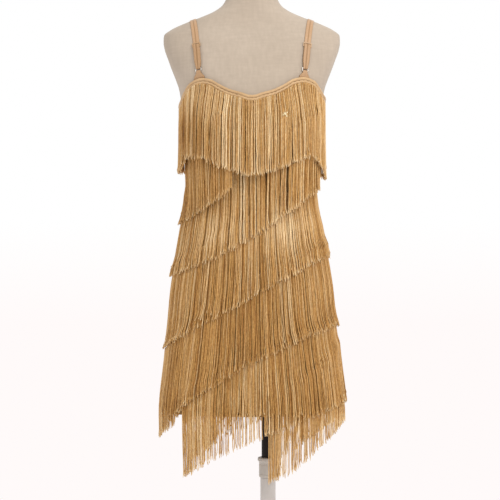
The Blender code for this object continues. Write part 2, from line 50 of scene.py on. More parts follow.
CAMERA_DISTANCE = 3.2
SENSOR = 36.0

# Stage: the world is a pale pink below eye level and white above it
FLOOR_RADIUS = 1.9
WORLD_LIGHT = 1.0
WORLD_PINK = (1.0, 0.955, 0.95, 1)
WORLD_PINK_BELOW = -0.05
WORLD_WHITE_ABOVE = 0.02
KEY_LIGHT = 46.0
FILL_LIGHT = 1.5
BACK_LIGHT = 8.0

# Colours
FRINGE_DEEP = (0.14, 0.055, 0.012)
FRINGE_DARK = (0.32, 0.15, 0.04)
FRINGE_MIDDLE = (0.52, 0.295, 0.105)
FRINGE_LIGHT = (0.85, 0.65, 0.41)
LINEN_DARK = (0.42, 0.345, 0.27)
LINEN_LIGHT = (0.475, 0.395, 0.315)

# Stand
BASE_RADIUS = 0.145
BASE_EDGE = 0.008
BASE_BOSS_TOP = 0.030
BASE_BOSS_WALL = 0.008
BASE_SOCKET = 0.016
TUBE_RADIUS = 0.01675
TUBE_BORE = 0.0145
COLLAR_BOTTOM = 0.414
COLLAR_TOP = 0.458
COLLAR_RADIUS = 0.01975
COLLAR_LIP_RADIUS = 0.0225
COLLAR_LIP = 0.008
ROD_RADIUS = 0.014
ROD_BOTTOM = 0.230

# Body
FORM_BOTTOM = 0.712
BODY_X = -0.0355
ROUNDNESS = 2.2
HEM_Z = 0.562
NECK_TOP = 1.490

# Dress
BINDING_HEIGHT = 0.0135
TAPE_HEIGHT = 0.008
TAPE_DROP = 0.003
FRINGE_LENGTH = 0.182
LAYER_GAP = 0.0007
CLING = 0.040
GAP = 0.0003
EDGING_LIFT = 0.0021
EDGING_THICKNESS = 0.0034
# The edging's two rolls: depth of the middle below the top edge, height
EDGING_ROLLS = ((0.0032, 0.0066), (0.0098, 0.0062))
EDGING_POINTS = 260
EDGING_SEAM = 0.0015
EDGE_STITCHES = 150
STITCH_REACH = 0.0011
CLOTH_COLUMNS = 121
CLOTH_ROWS = 90
CLOTH_SEAM = 0.0012
CLOTH_THICKNESS = 0.0009
TAPE_THICKNESS = 0.0005
TAPE_LIFT = 0.0003
BUST_TAPE_LIFT = 0.0005

# Straps and their fittings
STRAP_WIDTH = 0.0145
STRAP_NARROW = 0.0105
STRAP_THICKNESS = 0.001
STRAP_LIFT = 0.0006
STRAP_X_FRONT = 0.113
STRAP_X_TOP = 0.129
STRAP_X_BACK = 0.104
STRAP_BACK_Z = 1.2665
STRAP_TAPER = 0.012
RING_Z = 1.2965
RING_RADIUS = 0.0065
RING_WIRE = 0.0009
FOLD_SLACK = 0.0006
FOLD_LEAD = 0.004
SLIDER_ABOVE_RING = 0.051
SLIDER_OVERLAP = 0.0078
TAB_WIDTH = 0.026
TAB_DROP = 0.021
TAB_SINK = 0.0012
TAB_THICKNESS = 0.0008
TACK_DROP = 0.0125
# Painted shade: how much darker the strap's returned end and the tabs are coloured than the strap
RETURN_PAINTED_SHADE = -0.3
TAB_PAINTED_SHADE = -0.25

# Torso sections: height, half width, front depth, back depth
FORM_SECTIONS = (
    (0.712, 0.136, 0.082, 0.090),
    (0.717, 0.150, 0.095, 0.104),
    (0.728, 0.158, 0.102, 0.112),
    (0.760, 0.164, 0.107, 0.118),
    (0.840, 0.168, 0.110, 0.121),
    (0.920, 0.155, 0.103, 0.108),
    (1.010, 0.128, 0.092, 0.088),
    (1.080, 0.130, 0.098, 0.091),
    (1.140, 0.1385, 0.111, 0.097),
    (1.190, 0.1505, 0.125, 0.104),
    (1.230, 0.1540, 0.117, 0.109),
    (1.262, 0.1590, 0.1050, 0.1115),
    (1.284, 0.1665, 0.0980, 0.1110),
    (1.306, 0.1752, 0.0910, 0.1085),
    (1.328, 0.1832, 0.0840, 0.1045),
    (1.349, 0.1905, 0.0760, 0.0985),
    (1.366, 0.1932, 0.0690, 0.0925),
    (1.379, 0.1925, 0.0620, 0.0850),
    (1.393, 0.1760, 0.0550, 0.0770),
    (1.406, 0.1480, 0.0500, 0.0720),
    (1.4195, 0.1125, 0.0480, 0.0670),
    (1.4326, 0.0825, 0.0475, 0.0620),
    (1.446, 0.0645, 0.0475, 0.0585),
    (1.459, 0.0570, 0.0475, 0.0560),
    (1.490, 0.0510, 0.0475, 0.0530),
)

# Outer face of the cloth: height, half width, front depth, back depth
CLOTH_SECTIONS = (
    (0.550, 0.1995, 0.150, 0.155),
    (0.583, 0.1980, 0.148, 0.153),
    (0.670, 0.1890, 0.138, 0.144),
    (0.758, 0.1800, 0.126, 0.134),
    (0.828, 0.1740, 0.119, 0.128),
    (0.898, 0.1630, 0.112, 0.118),
    (0.960, 0.1530, 0.107, 0.109),
    (1.010, 0.1420, 0.103, 0.101),
    (1.080, 0.1375, 0.105, 0.099),
    (1.140, 0.1430, 0.117, 0.102),
    (1.190, 0.1540, 0.1300, 0.1080),
    (1.230, 0.1575, 0.1220, 0.1130),
    (1.262, 0.1620, 0.1100, 0.1150),
    (1.300, 0.1755, 0.0980, 0.1135),
)

# Top edge of the dress: degrees from the wearer's side towards the middle, height
FRONT_TOP_EDGE = (
    (0, 1.242),
    (14, 1.248),
    (21, 1.260),
    (28, 1.2745),
    (37, 1.2803),
    (46, 1.276),
    (56, 1.2635),
    (68, 1.251),
    (80, 1.2435),
    (86, 1.2390),
    (90, 1.2380),
)
BACK_TOP_EDGE = ((0, 1.242), (25, 1.251), (43, 1.262), (60, 1.252), (90, 1.240))
# It has slipped lower under the left arm (seen from the front)
LEFT_SLIP = 0.017
LEFT_SLIP_POWER = 8

# Fringe rows: height at the body's middle, rise and droop to the right (per metre, per metre
# squared), where the left end lies, and how pale the row's strands are (painted light and shade)
ROWS = {
    "fringe_1": (1.246, 0.673, 0.0, -1.0, 0.38),
    "fringe_2": (1.114, 0.645, 0.48, -1.0, 0.46),
    "fringe_3": (0.988, 0.665, 0.0, -1.0, 0.40),
    "fringe_4": (0.850, 0.645, -0.95, -1.0, 0.20),
    "fringe_5": (0.688, 0.49, -0.4, -0.143, 0.30),
    "fringe_6": (0.594, 0.155, 2.72, 0.033, 0.40),
}
# Painted light: the bust row's strands are paler, where more light falls on them
BUST_PAINTED_PALE = 0.80
BUST_LENGTH = 0.1645
BUST_CUT_LEFT = 0.026
BUST_CUT_RIGHT = -0.004
BUST_CUT_POWER = 10

# Places on the front, metres right of the middle, where a row's strands part
PARTINGS = {
    "fringe_0": (-0.128, -0.117, -0.108, -0.077, -0.057, -0.038, -0.012, 0.004, 0.050, 0.094, 0.107, 0.124),
    "fringe_1": (-0.121, -0.101, -0.088, -0.044),
    "fringe_2": (-0.112, -0.090, -0.045, -0.025, -0.019, -0.006, 0.009, 0.030, 0.038, 0.060, 0.076),
    "fringe_3": (-0.114, -0.099, -0.083, -0.046, 0.015, 0.046, 0.137),
    "fringe_4": (-0.150, -0.099, -0.060, -0.031, 0.014, 0.048, 0.105, 0.177),
    "fringe_5": (-0.114, -0.069, 0.010, 0.092, 0.105, 0.121, 0.197),
    "fringe_6": (0.062, 0.080, 0.100, 0.125),
}
PARTING_WIDTHS = (0.0018, 0.0034)

# How full a row's lower end hangs: metres right of the middle, share of the strands
FULLNESS = {
    "fringe_4": ((-0.25, 1.0), (-0.178, 1.0), (-0.172, 0.55), (-0.140, 0.50), (-0.130, 0.2)),
    "fringe_5": ((-0.25, 1.0), (-0.112, 1.0), (-0.100, 0.80), (-0.060, 0.55), (0.0, 0.50), (0.02, 0.65)),
    "fringe_6": ((0.0, 1.0), (0.064, 1.0), (0.068, 0.50), (0.100, 0.62), (0.150, 0.70), (0.190, 0.9)),
}

# How far below the hem the other strands end: metres right of the middle, depth
FULL_TO = {
    "fringe_5": ((-0.130, 0.098), (-0.088, 0.074), (-0.065, 0.045), (-0.040, 0.022), (-0.027, 0.0)),
    "fringe_6": ((0.066, 0.055), (0.108, 0.046), (0.131, 0.036), (0.160, 0.020)),
}

# Where a row's strands are longer, or shorter: metres right of the middle, extra length
LONGER = {
    "fringe_4": ((-0.25, 0.013), (-0.178, 0.012), (-0.165, 0.016), (-0.140, 0.020), (-0.133, 0.0)),
    "fringe_6": ((0.108, 0.0), (0.130, -0.008), (0.175, -0.009), (0.200, -0.003)),
}

# Patches of the front where the threads catch the light, or lie in shade where the gain is
# below zero: metres right of the middle, height, half size, gain
PALE_PATCHES = (
    (-0.078, 0.950, 0.045, 0.24),
    (0.064, 0.950, 0.045, 0.32),
    (0.120, 0.975, 0.032, 0.14),
    (0.138, 0.830, 0.075, 0.15),
    (0.005, 1.030, 0.060, 0.09),
    (0.005, 1.170, 0.045, 0.05),
    (-0.060, 0.610, 0.040, 0.07),
    (-0.085, 1.215, 0.045, 0.08),
    (-0.150, 1.160, 0.055, -0.36),
    (-0.150, 0.990, 0.055, -0.14),
)

# Strands: the two layers of a row have their own spacing and lift, and painted shade: the inner layer is
# coloured darker, the outer one lighter
STRAND_PITCH = (0.0021, 0.0026)
STRAND_LIFT = (0.0, 0.0013)
STRAND_PAINTED_SHADE = (-0.12, 0.08)
STRAND_RADIUS = 0.00085
STRAND_SIDES = 4
STRAND_SHARES = (0.0, 0.03, 0.10, 0.20, 0.31, 0.42, 0.53, 0.64, 0.75, 0.86, 0.94, 0.972, 1.0)
CURL_FROM = 0.935
CURL_PALE = 0.26
# Painted light: strands hanging below the hem are made paler, as if lit through from behind
BACKLIT_PAINTED_PALE = 0.14
BUST_ROOT_RISE = 0.0045
SPARE_LENGTH = 0.024
ROW_SEED = 40
BUST_SEED = 71

# Sequins on the knit, and clusters caught in the strands: degrees round from the right side,
# height, spread, count
SEQUINS = 2600
SEQUINS_TOP = 1.225
CAUGHT_SEQUINS = ((-61.5, 1.199, 0.0045, 14), (-13.0, 0.590, 0.0065, 14))
CAUGHT_REACH = 0.15
CAUGHT_LIFT = 0.0022
SEQUIN_SIZES = (0.0010, 0.0015)
SEQUIN_CORNERS = 6
SEQUIN_RIM = 0.8
SEQUIN_CUP = 0.00022

# The grid on which rows of fringe are hung over each other
TURNS = 720
LOWEST = 0.330
HIGHEST = 1.330
STEP = 0.0025


def smooth_columns(table, z):
    """Values of a table's columns at heights z, on smooth curves through its rows."""
    rows = np.array(table, dtype=float)
    z = np.clip(np.asarray(z, dtype=float), rows[0, 0], rows[-1, 0])
    i = np.clip(np.searchsorted(rows[:, 0], z) - 1, 0, len(rows) - 2)
    steps = np.diff(rows[:, 0])[:, None]
    slopes = np.diff(rows[:, 1:], axis=0) / steps
    product = slopes[:-1] * slopes[1:]
    total = slopes[:-1] + slopes[1:]
    inner = np.where(product > 0, 2 * product / np.where(product > 0, total, 1.0), 0.0)
    tangents = np.vstack((slopes[:1], inner, slopes[-1:]))
    h = steps[i]
    t = ((z - rows[i, 0]) / h[..., 0])[..., None]
    start = (1 + 2 * t) * (1 - t) ** 2 * rows[i, 1:] + t * (1 - t) ** 2 * h * tangents[i]
    end = t * t * (3 - 2 * t) * rows[i + 1, 1:] + t * t * (t - 1) * h * tangents[i + 1]
    return start + end


def reach(sections, turn, z):
    """Distance from the body's axis to a surface, for arrays of angles and heights."""
    turn, z = np.broadcast_arrays(np.asarray(turn, dtype=float), np.asarray(z, dtype=float))
    columns = smooth_columns(sections, z)
    depth = np.where(np.sin(turn) < 0, columns[..., 1], columns[..., 2])
    across = (np.abs(np.cos(turn)) / columns[..., 0]) ** ROUNDNESS
    deep = (np.abs(np.sin(turn)) / depth) ** ROUNDNESS
    return (across + deep) ** (-1 / ROUNDNESS)


def place(turn, radius, z):
    """World points from angles, reaches and heights."""
    return np.stack((BODY_X + radius * np.cos(turn), radius * np.sin(turn), z + 0 * radius), axis=-1)


def unit(vectors):
    """The same directions, with length one."""
    return vectors / np.linalg.norm(vectors, axis=-1, keepdims=True)


def outward_at(turn):
    """Level directions away from the body's axis."""
    return np.stack((np.cos(turn), np.sin(turn), 0 * turn), axis=-1)


def distances(points):
    """How far each point of a line lies from its start, along the line."""
    return np.concatenate(([0.0], np.cumsum(np.linalg.norm(np.diff(points, axis=0), axis=1))))


def top_edge(turn):
    """Height of the dress's top edge, for an array of angles."""
    turn = np.asarray(turn, dtype=float)
    from_side = np.degrees(np.arcsin(np.clip(np.abs(np.sin(turn)), 0, 1)))
    front = smooth_columns(FRONT_TOP_EDGE, from_side)[..., 0]
    back = smooth_columns(BACK_TOP_EDGE, from_side)[..., 0]
    slip = LEFT_SLIP * np.maximum(0, -np.cos(turn)) ** LEFT_SLIP_POWER
    return np.where(np.sin(turn) < 0, front, back) - slip


def smooth_noise(rng, count, wavelength, low=-1.0, high=1.0):
    """Random values that change smoothly along a line of count places."""
    knots = int(count / wavelength) + 3
    values = rng.uniform(low, high, knots)
    at = np.arange(count) / wavelength
    i = at.astype(int)
    t = at - i
    t = t * t * (3 - 2 * t)
    return values[i] * (1 - t) + values[i + 1] * t


# Objects

def new_object(name, verts, faces, material, body="form"):
    """A smooth mesh whose faces may have any number of sides."""
    mesh = bpy.data.meshes.new(name)
    mesh.from_pydata([tuple(v) for v in verts], [], [tuple(f) for f in faces])
    return finish_object(name, mesh, material, body, True)


def fast_object(name, verts, quads, material, body="form", tone=None, smooth=True):
    """A mesh of four-sided faces straight from arrays, with a tone for each point if given."""
    mesh = bpy.data.meshes.new(name)
    mesh.vertices.add(len(verts))
    mesh.vertices.foreach_set("co", np.asarray(verts, dtype=np.float32).ravel())
    mesh.loops.add(quads.size)
    mesh.loops.foreach_set("vertex_index", np.asarray(quads, dtype=np.int32).ravel())
    mesh.polygons.add(len(quads))
    mesh.polygons.foreach_set("loop_start", np.arange(0, quads.size, 4, dtype=np.int32))
    mesh.update(calc_edges=True)
    if tone is not None:
        layer = mesh.attributes.new("tone", "FLOAT", "POINT")
        layer.data.foreach_set("value", np.asarray(tone, dtype=np.float32).ravel())
    mesh.validate()
    return finish_object(name, mesh, material, body, smooth)


def finish_object(name, mesh, material, body, smooth):
    """Put a mesh in the scene with its material, riding on a body."""
    if smooth:
        mesh.shade_smooth()
    made = bpy.data.objects.new(name, mesh)
    made.data.materials.append(material)
    bpy.context.scene.collection.objects.link(made)
    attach(made, body)
    return made


def thicken(piece, thickness, offset):
    """Give a sheet its thickness: outward at offset 1, inward at offset -1."""
    thick = piece.modifiers.new("thickness", "SOLIDIFY")
    thick.thickness = thickness
    thick.offset = offset


def grid_quads(rows, columns, closed=False):
    """Faces of a grid of points stored row by row."""
    r = np.arange(rows - 1)[:, None]
    c = np.arange(columns if closed else columns - 1)[None, :]
    n = (c + 1) % columns
    low, high = r * columns, (r + 1) * columns
    return np.stack((low + c, low + n, high + n, high + c), axis=-1).reshape(-1, 4)


def capped_faces(rows, columns):
    """Faces of a tube of points, with one face over each end."""
    faces = [tuple(quad) for quad in grid_quads(rows, columns, closed=True)]
    faces.append(tuple(reversed(range(columns))))
    faces.append(tuple(range((rows - 1) * columns, rows * columns)))
    return faces


def torus_quads(rows, columns):
    """Faces of a grid of points that is closed both ways."""
    return grid_quads(rows + 1, columns, closed=True) % (rows * columns)


# Materials

class Nodes:
    """Short names for building a material's node tree."""

    def __init__(self, name, roughness=0.5, metallic=0.0, **sockets):
        self.material = bpy.data.materials.new(name)
        self.material.use_nodes = True
        self.tree = self.material.node_tree
        self.shader = self.tree.nodes["Principled BSDF"]
        self.shader.inputs["Roughness"].default_value = roughness
        self.shader.inputs["Metallic"].default_value = metallic
        for socket, value in sockets.items():
            self.shader.inputs[socket.replace("_", " ")].default_value = value

    def node(self, kind, inputs=None, **settings):
        made = self.tree.nodes.new(kind)
        for key, value in settings.items():
            setattr(made, key, value)
        for key, value in (inputs or {}).items():
            if isinstance(value, bpy.types.NodeSocket):
                self.tree.links.new(value, made.inputs[key])
            else:
                made.inputs[key].default_value = value
        return made

    def link(self, output, socket):
        self.tree.links.new(output, self.shader.inputs[socket])

    def coordinates(self, scale=(1, 1, 1)):
        source = self.node("ShaderNodeTexCoord")
        mapping = self.node("ShaderNodeMapping", {"Vector": source.outputs["Object"], "Scale": scale})
        return mapping.outputs["Vector"]

    def noise(self, scale, detail=3.0, roughness=0.55, stretch=(1, 1, 1)):
        inputs = {
            "Vector": self.coordinates(stretch),
            "Scale": scale,
            "Detail": detail,
            "Roughness": roughness,
        }
        return self.node("ShaderNodeTexNoise", inputs).outputs["Fac"]

    def wave(self, scale, distortion, detail=2.0, direction="X"):
        inputs = {
            "Vector": self.coordinates(),
            "Scale": scale,
            "Distortion": distortion,
            "Detail": detail,
        }
        return self.node("ShaderNodeTexWave", inputs, bands_direction=direction).outputs

    def ramp(self, factor, stops):
        made = self.node("ShaderNodeValToRGB", {"Fac": factor})
        elements = made.color_ramp.elements
        while len(elements) < len(stops):
            elements.new(0.5)
        for element, (position, colour) in zip(elements, stops):
            element.position = position
            element.color = (*colour, 1)
        return made.outputs["Color"]

    def mix(self, factor, a, b, blend="MIX"):
        made = self.node("ShaderNodeMix", data_type="RGBA", blend_type=blend)
        for key, value in (("Factor", factor), ("A", a), ("B", b)):
            sockets = [s for s in made.inputs if s.name == key and s.enabled]
            socket = sockets[0]
            if isinstance(value, bpy.types.NodeSocket):
                self.tree.links.new(value, socket)
            elif key == "Factor":
                socket.default_value = value
            else:
                socket.default_value = (*value, 1)
        return [s for s in made.outputs if s.name == "Result" and s.enabled][0]

    def bump(self, height, strength, distance, normal=None):
        inputs = {"Height": height, "Strength": strength, "Distance": distance}
        if normal is not None:
            inputs["Normal"] = normal
        return self.node("ShaderNodeBump", inputs).outputs["Normal"]


def fringe_material():
    """Gold twisted rayon: each strand its own tone, with a soft shine, specks of painted gloss in its colour
    and a fine twist.
    """
    m = Nodes("gold_fringe", roughness=0.40, Specular_IOR_Level=0.45)
    m.shader.inputs["Specular Tint"].default_value = (1.0, 0.80, 0.52, 1)
    tone = m.node("ShaderNodeAttribute", attribute_name="tone").outputs["Fac"]
    stops = [(0.0, FRINGE_DEEP), (0.25, FRINGE_DARK), (0.55, FRINGE_MIDDLE), (1.0, FRINGE_LIGHT)]
    base = m.ramp(tone, stops)
    # Painted highlights: fine specks of pale gloss, and some darker ones, mixed into the strands' colour
    gloss_specks = m.noise(420.0, detail=2.0, stretch=(1, 1, 0.45))
    painted_gloss = m.ramp(gloss_specks, [(0.35, (0.20, 0.13, 0.06)), (0.65, (1.0, 0.88, 0.66))])
    m.link(m.mix(0.42, base, painted_gloss, "SOFT_LIGHT"), "Base Color")
    twist = m.wave(140.0, 1.5, 1.0, "DIAGONAL")
    m.link(m.bump(twist["Fac"], 0.5, 0.0004), "Normal")
    return m.material


def knit_material():
    """The dress's own knit: bronze gold with fine ribs and glints, and fine vertical streaks of painted
    shade.
    """
    m = Nodes("gold_knit", roughness=0.5, Specular_IOR_Level=0.35)
    m.shader.inputs["Specular Tint"].default_value = (1.0, 0.78, 0.5, 1)
    ribs = m.wave(190.0, 0.6)
    cloud = m.noise(14.0, detail=4.0)
    # Painted shade: fine vertical streaks darken the knit like strands lying in shade
    painted_strand_shade = m.noise(420.0, detail=2.0, stretch=(1, 1, 0.03))
    base = m.ramp(cloud, [(0.3, (0.38, 0.21, 0.075)), (0.7, (0.50, 0.30, 0.115))])
    base = m.mix(0.7, base, m.ramp(painted_strand_shade, [(0.36, (0.40, 0.33, 0.26)), (0.62, (1, 1, 1))]), "MULTIPLY")
    m.link(m.mix(0.3, base, ribs["Color"], "SOFT_LIGHT"), "Base Color")
    fine = m.node("ShaderNodeTexVoronoi", {"Vector": m.coordinates((1, 1, 1.4)), "Scale": 700.0})
    normal = m.bump(fine.outputs["Distance"], 0.5, 0.0004)
    m.link(m.bump(ribs["Fac"], 0.4, 0.0003, normal), "Normal")
    return m.material


def sequin_material(name, dark, light, metallic):
    """Shiny foil whose tone changes from one sequin to the next."""
    m = Nodes(name, roughness=0.18, metallic=metallic)
    glint = m.noise(420.0, detail=1.0)
    m.link(m.ramp(glint, [(0.35, dark), (0.65, light)]), "Base Color")
    return m.material


def elastic_material():
    """Elastic of the neckline and the tapes: light gold tan with fine ribs."""
    m = Nodes("tan_elastic", roughness=0.42, Specular_IOR_Level=0.4)
    ribs = m.noise(900.0, detail=2.0, stretch=(1, 1, 0.08))
    cloud = m.noise(30.0, detail=3.0)
    base = m.ramp(cloud, [(0.3, (0.45, 0.295, 0.155)), (0.7, (0.58, 0.405, 0.225))])
    rib_shade = m.ramp(ribs, [(0.3, (0.35, 0.2, 0.1)), (0.7, (0.9, 0.66, 0.42))])
    m.link(m.mix(0.25, base, rib_shade, "SOFT_LIGHT"), "Base Color")
    m.link(m.bump(ribs, 0.35, 0.0004), "Normal")
    return m.material


def satin_material():
    """Peach tan satin of the straps, with painted shade deeper in the groove and along the edges."""
    m = Nodes("tan_satin", roughness=0.44, Specular_IOR_Level=0.35, Sheen_Weight=0.1)
    tone = m.node("ShaderNodeAttribute", attribute_name="tone").outputs["Fac"]
    stops = [(0.0, (0.26, 0.14, 0.055)), (0.5, (0.38, 0.22, 0.105)), (1.0, (0.47, 0.29, 0.16))]
    base = m.ramp(tone, stops)
    ribs = m.noise(900.0, detail=2.0, stretch=(1, 1, 0.08))
    rib_shade = m.ramp(ribs, [(0.3, (0.35, 0.35, 0.35)), (0.7, (0.7, 0.7, 0.7))])
    m.link(m.mix(0.3, base, rib_shade, "OVERLAY"), "Base Color")
    m.link(m.bump(ribs, 0.35, 0.0004), "Normal")
    return m.material


def linen_material():
    """The form's cover: plain linen with slubs and a faint weave."""
    m = Nodes("form_linen", roughness=0.88, Specular_IOR_Level=0.25, Sheen_Weight=0.15)
    weft = m.wave(300.0, 1.2, 1.0, "Z")
    warp = m.wave(300.0, 1.2, 1.0, "X")
    slubs = m.noise(60.0, detail=4.0, stretch=(2.5, 2.5, 0.35))
    threads = m.noise(90.0, detail=4.0, stretch=(0.4, 0.4, 2.5))
    cloud = m.noise(6.0, detail=3.0)
    base = m.ramp(cloud, [(0.3, LINEN_DARK), (0.7, LINEN_LIGHT)])
    grey = [(0.35, (0.42, 0.42, 0.42)), (0.7, (0.60, 0.60, 0.60))]
    base = m.mix(0.20, base, m.ramp(slubs, grey), "OVERLAY")
    base = m.mix(0.16, base, m.ramp(threads, grey), "OVERLAY")
    m.link(base, "Base Color")
    weave = m.mix(0.5, weft["Color"], warp["Color"], "MULTIPLY")
    normal = m.bump(weave, 0.25, 0.0003)
    m.link(m.bump(slubs, 0.25, 0.0006, normal), "Normal")
    return m.material


def paint_material(name, dark, light, roughness, metallic, coat=0.15):
    """Painted or plated metal of the stand, with faint wear and smears in its gloss."""
    m = Nodes(name, roughness=roughness, metallic=metallic, Coat_Weight=coat, Coat_Roughness=0.2)
    m.shader.inputs["Specular IOR Level"].default_value = 0.25 + coat
    cloud = m.noise(22.0, detail=5.0)
    m.link(m.ramp(cloud, [(0.35, dark), (0.65, light)]), "Base Color")
    smears = m.noise(55.0, detail=4.0, stretch=(1, 1, 0.15))
    limits = {"Value": smears, "To Min": roughness * 0.75, "To Max": roughness * 1.3}
    m.link(m.node("ShaderNodeMapRange", limits).outputs["Result"], "Roughness")
    m.link(m.bump(m.noise(700.0, detail=2.0), 0.12, 0.0002), "Normal")
    return m.material


# Fringe

class Layers:
    """How far out the cloth and the rows already hung reach, on a grid of heights by angles."""

    def __init__(self):
        self.heights = np.arange(LOWEST, HIGHEST, STEP)
        self.turns = np.arange(TURNS) * 2 * math.pi / TURNS
        cloth = reach(CLOTH_SECTIONS, self.turns[None, :], np.maximum(self.heights, HEM_Z)[:, None])
        self.outer = np.where(self.heights[:, None] < HEM_Z, 0.0, cloth)

    def hang(self, top, length, cling, margin=0.008):
        """Inner reach of a row whose strands start at heights top (one for each angle)."""
        inside = np.zeros_like(self.outer)
        carried = np.zeros(TURNS)
        for i in range(len(self.heights) - 1, -1, -1):
            z = self.heights[i]
            live = (z <= top + STEP) & (z >= top - length - margin)
            step_out = np.maximum(self.outer[i] + LAYER_GAP, carried - cling * STEP)
            carried = np.where(live, step_out, 0.0)
            inside[i] = carried
        return self.soften(inside)

    @staticmethod
    def soften(inside, window=7):
        """Round off the steps where a strand comes out over the row below, never going deeper."""
        solid = inside > 0
        total = np.zeros_like(inside)
        weight = np.zeros_like(inside)
        for shift in range(-window, window + 1):
            moved = np.roll(inside, shift, axis=0)
            there = np.roll(solid, shift, axis=0)
            total += np.where(there, moved, 0.0)
            weight += there
        mean = total / np.maximum(weight, 1)
        return np.where(solid, np.maximum(inside, mean), 0.0)

    def sample(self, grid, turn, z):
        """Values of a grid at scattered angles and heights."""
        column = (turn % (2 * math.pi)) / (2 * math.pi) * TURNS
        c0 = np.floor(column).astype(int) % TURNS
        c1 = (c0 + 1) % TURNS
        tc = column - np.floor(column)
        row = np.clip((z - LOWEST) / STEP, 0, len(self.heights) - 1.001)
        r0 = np.floor(row).astype(int)
        tr = row - r0
        low = grid[r0, c0] * (1 - tc) + grid[r0, c1] * tc
        high = grid[r0 + 1, c0] * (1 - tc) + grid[r0 + 1, c1] * tc
        return low * (1 - tr) + high * tr

    def cover(self, inside, top, length, thickness):
        live = (self.heights[:, None] <= top) & (self.heights[:, None] >= top - length)
        self.outer = np.where(live, np.maximum(self.outer, inside + thickness), self.outer)


def bust_line(turn):
    """Height of the bust row's tape, which follows the neckline."""
    return top_edge(turn) - BINDING_HEIGHT - TAPE_DROP


def slanted_line(name, turn):
    """Height of a slanted row's tape at each angle, and where the row exists."""
    middle, rise, droop, left_end = ROWS[name][:4]
    z = np.full_like(turn, middle)
    for _ in range(10):
        x = reach(CLOTH_SECTIONS, turn, z) * np.cos(turn)
        z = middle + rise * x + droop * x * x
    shown = (z < bust_line(turn) - TAPE_HEIGHT - 0.006) & (x > left_end)
    return z, shown


def strand_roots(line, shown, turns, outer_at, pitch, rng):
    """Angles of the strands' roots, evenly apart along the row with a little jitter."""
    points = place(turns, outer_at, line)
    lengths = distances(np.vstack((points, points[:1])))
    count = int(lengths[-1] / pitch)
    along = (np.arange(count) + rng.uniform(-0.25, 0.25, count)) * lengths[-1] / count
    roots = np.interp(along, lengths, np.append(turns, 2 * math.pi)) % (2 * math.pi)
    keep = shown[np.round(roots / (2 * math.pi) * TURNS).astype(int) % TURNS]
    return roots[keep], along[keep]


def strand_sway(along, depth, share, rng):
    """Sideways drift of every strand at every depth: clumps, slow waves and small kinks."""
    count = len(along)
    drift = np.zeros((count, share.shape[1]))
    # Clumps: neighbouring strands draw together lower down
    clump_width = 0.0085
    edges = np.cumsum(rng.uniform(0.4, 1.7, int(1.9 / clump_width)) * clump_width)
    clump = np.searchsorted(edges, along)
    middles = np.append((edges[:-1] + edges[1:]) / 2, edges[-1])[np.clip(clump, 1, len(edges)) - 1]
    pull = rng.uniform(0.0, 0.12, len(edges) + 2)[clump]
    drift += (middles - along)[:, None] * pull[:, None] * np.clip(share * 3, 0, 1)
    # Slow waves shared by neighbours, changing a little with depth
    for wavelength, size in ((0.021, 0.0005), (0.062, 0.0008)):
        phase = rng.uniform(0, 2 * math.pi, 3)
        turn = along[:, None] / wavelength * 2 * math.pi
        wave = np.sin(turn + phase[0] + 2.2 * np.sin(turn * 0.31 + phase[1]) + 2.5 * share + phase[2])
        drift += wave * size * share ** 0.7
    # Each strand's own lean and kinks
    drift += rng.normal(0, 0.0007, count)[:, None] * share
    stray = (rng.random(count) < 0.04) * rng.normal(0, 0.0045, count)
    drift += stray[:, None] * share ** 1.5
    for _ in range(2):
        phase = rng.uniform(0, 2 * math.pi, count)[:, None]
        rate = rng.uniform(90, 260, count)[:, None]
        size = rng.uniform(0.0001, 0.0004, count)[:, None]
        drift += size * np.sin(depth * rate + phase) * np.clip(share * 6, 0, 1)
    return drift


def kept_strands(name, roots, x, rng):
    """Which strands are there: none in a parting, and a few missing at the back."""
    front = np.sin(roots) < 0
    keep = np.ones(len(roots), dtype=bool)
    for middle in PARTINGS[name]:
        half = rng.uniform(*PARTING_WIDTHS) / 2
        steep = np.clip(np.abs(np.sin(roots)), 0.35, 1)
        keep &= ~(front & (np.abs(x - middle) < half * steep))
    back = np.flatnonzero(~front)
    if len(back):
        keep[rng.choice(back, len(back) // 45, replace=False)] = False
    return keep


def from_table(tables, name, x, otherwise=0.0):
    """A row's value at places x, from its table if it has one."""
    if name not in tables:
        return np.full_like(x, otherwise)
    table = np.array(tables[name])
    return np.interp(x, table[:, 0], table[:, 1])


def tucked(name, x, rng):
    """Which strands end high, so that the row's lower end hangs thinner."""
    return rng.random(len(x)) > from_table(FULLNESS, name, x, 1.0)


def pale_patch(x, z, turn):
    """Extra paleness where the front's threads catch the light, fading out at the sides."""
    gain = np.zeros_like(z)
    on_front = np.clip(-3 * np.sin(turn), 0, 1)
    for middle, height, size, amount in PALE_PATCHES:
        apart = ((x - middle) ** 2 + (z - height) ** 2) / size ** 2
        gain += amount * np.exp(-apart) * on_front
    return gain


def row_length(name, turn):
    """Length of a row's fringe at an array of angles, tape included."""
    if name in ROWS:
        return np.full_like(turn, FRINGE_LENGTH)
    cut = np.where(np.cos(turn) < 0, BUST_CUT_LEFT, BUST_CUT_RIGHT)
    return BUST_LENGTH - cut * np.abs(np.cos(turn)) ** BUST_CUT_POWER


def strand_lengths(name, roots, x, to_hem, rng):
    """Uneven lengths, with a few short strands and those that end high."""
    count = len(roots)
    length = row_length(name, roots) - 0.003 + rng.normal(0, 0.0022, count)
    length -= np.abs(rng.normal(0, 0.0014, count))
    length += smooth_noise(rng, count, 6.0, -0.0022, 0.0022) + from_table(LONGER, name, x)
    length -= (rng.random(count) < 0.06) * rng.uniform(0.004, 0.022, count)
    to_end = np.maximum(to_hem + from_table(FULL_TO, name, x), 0.004)
    to_end += rng.uniform(-0.006, 0.004, count)
    return np.where(tucked(name, x, rng), np.minimum(length, to_end), length)


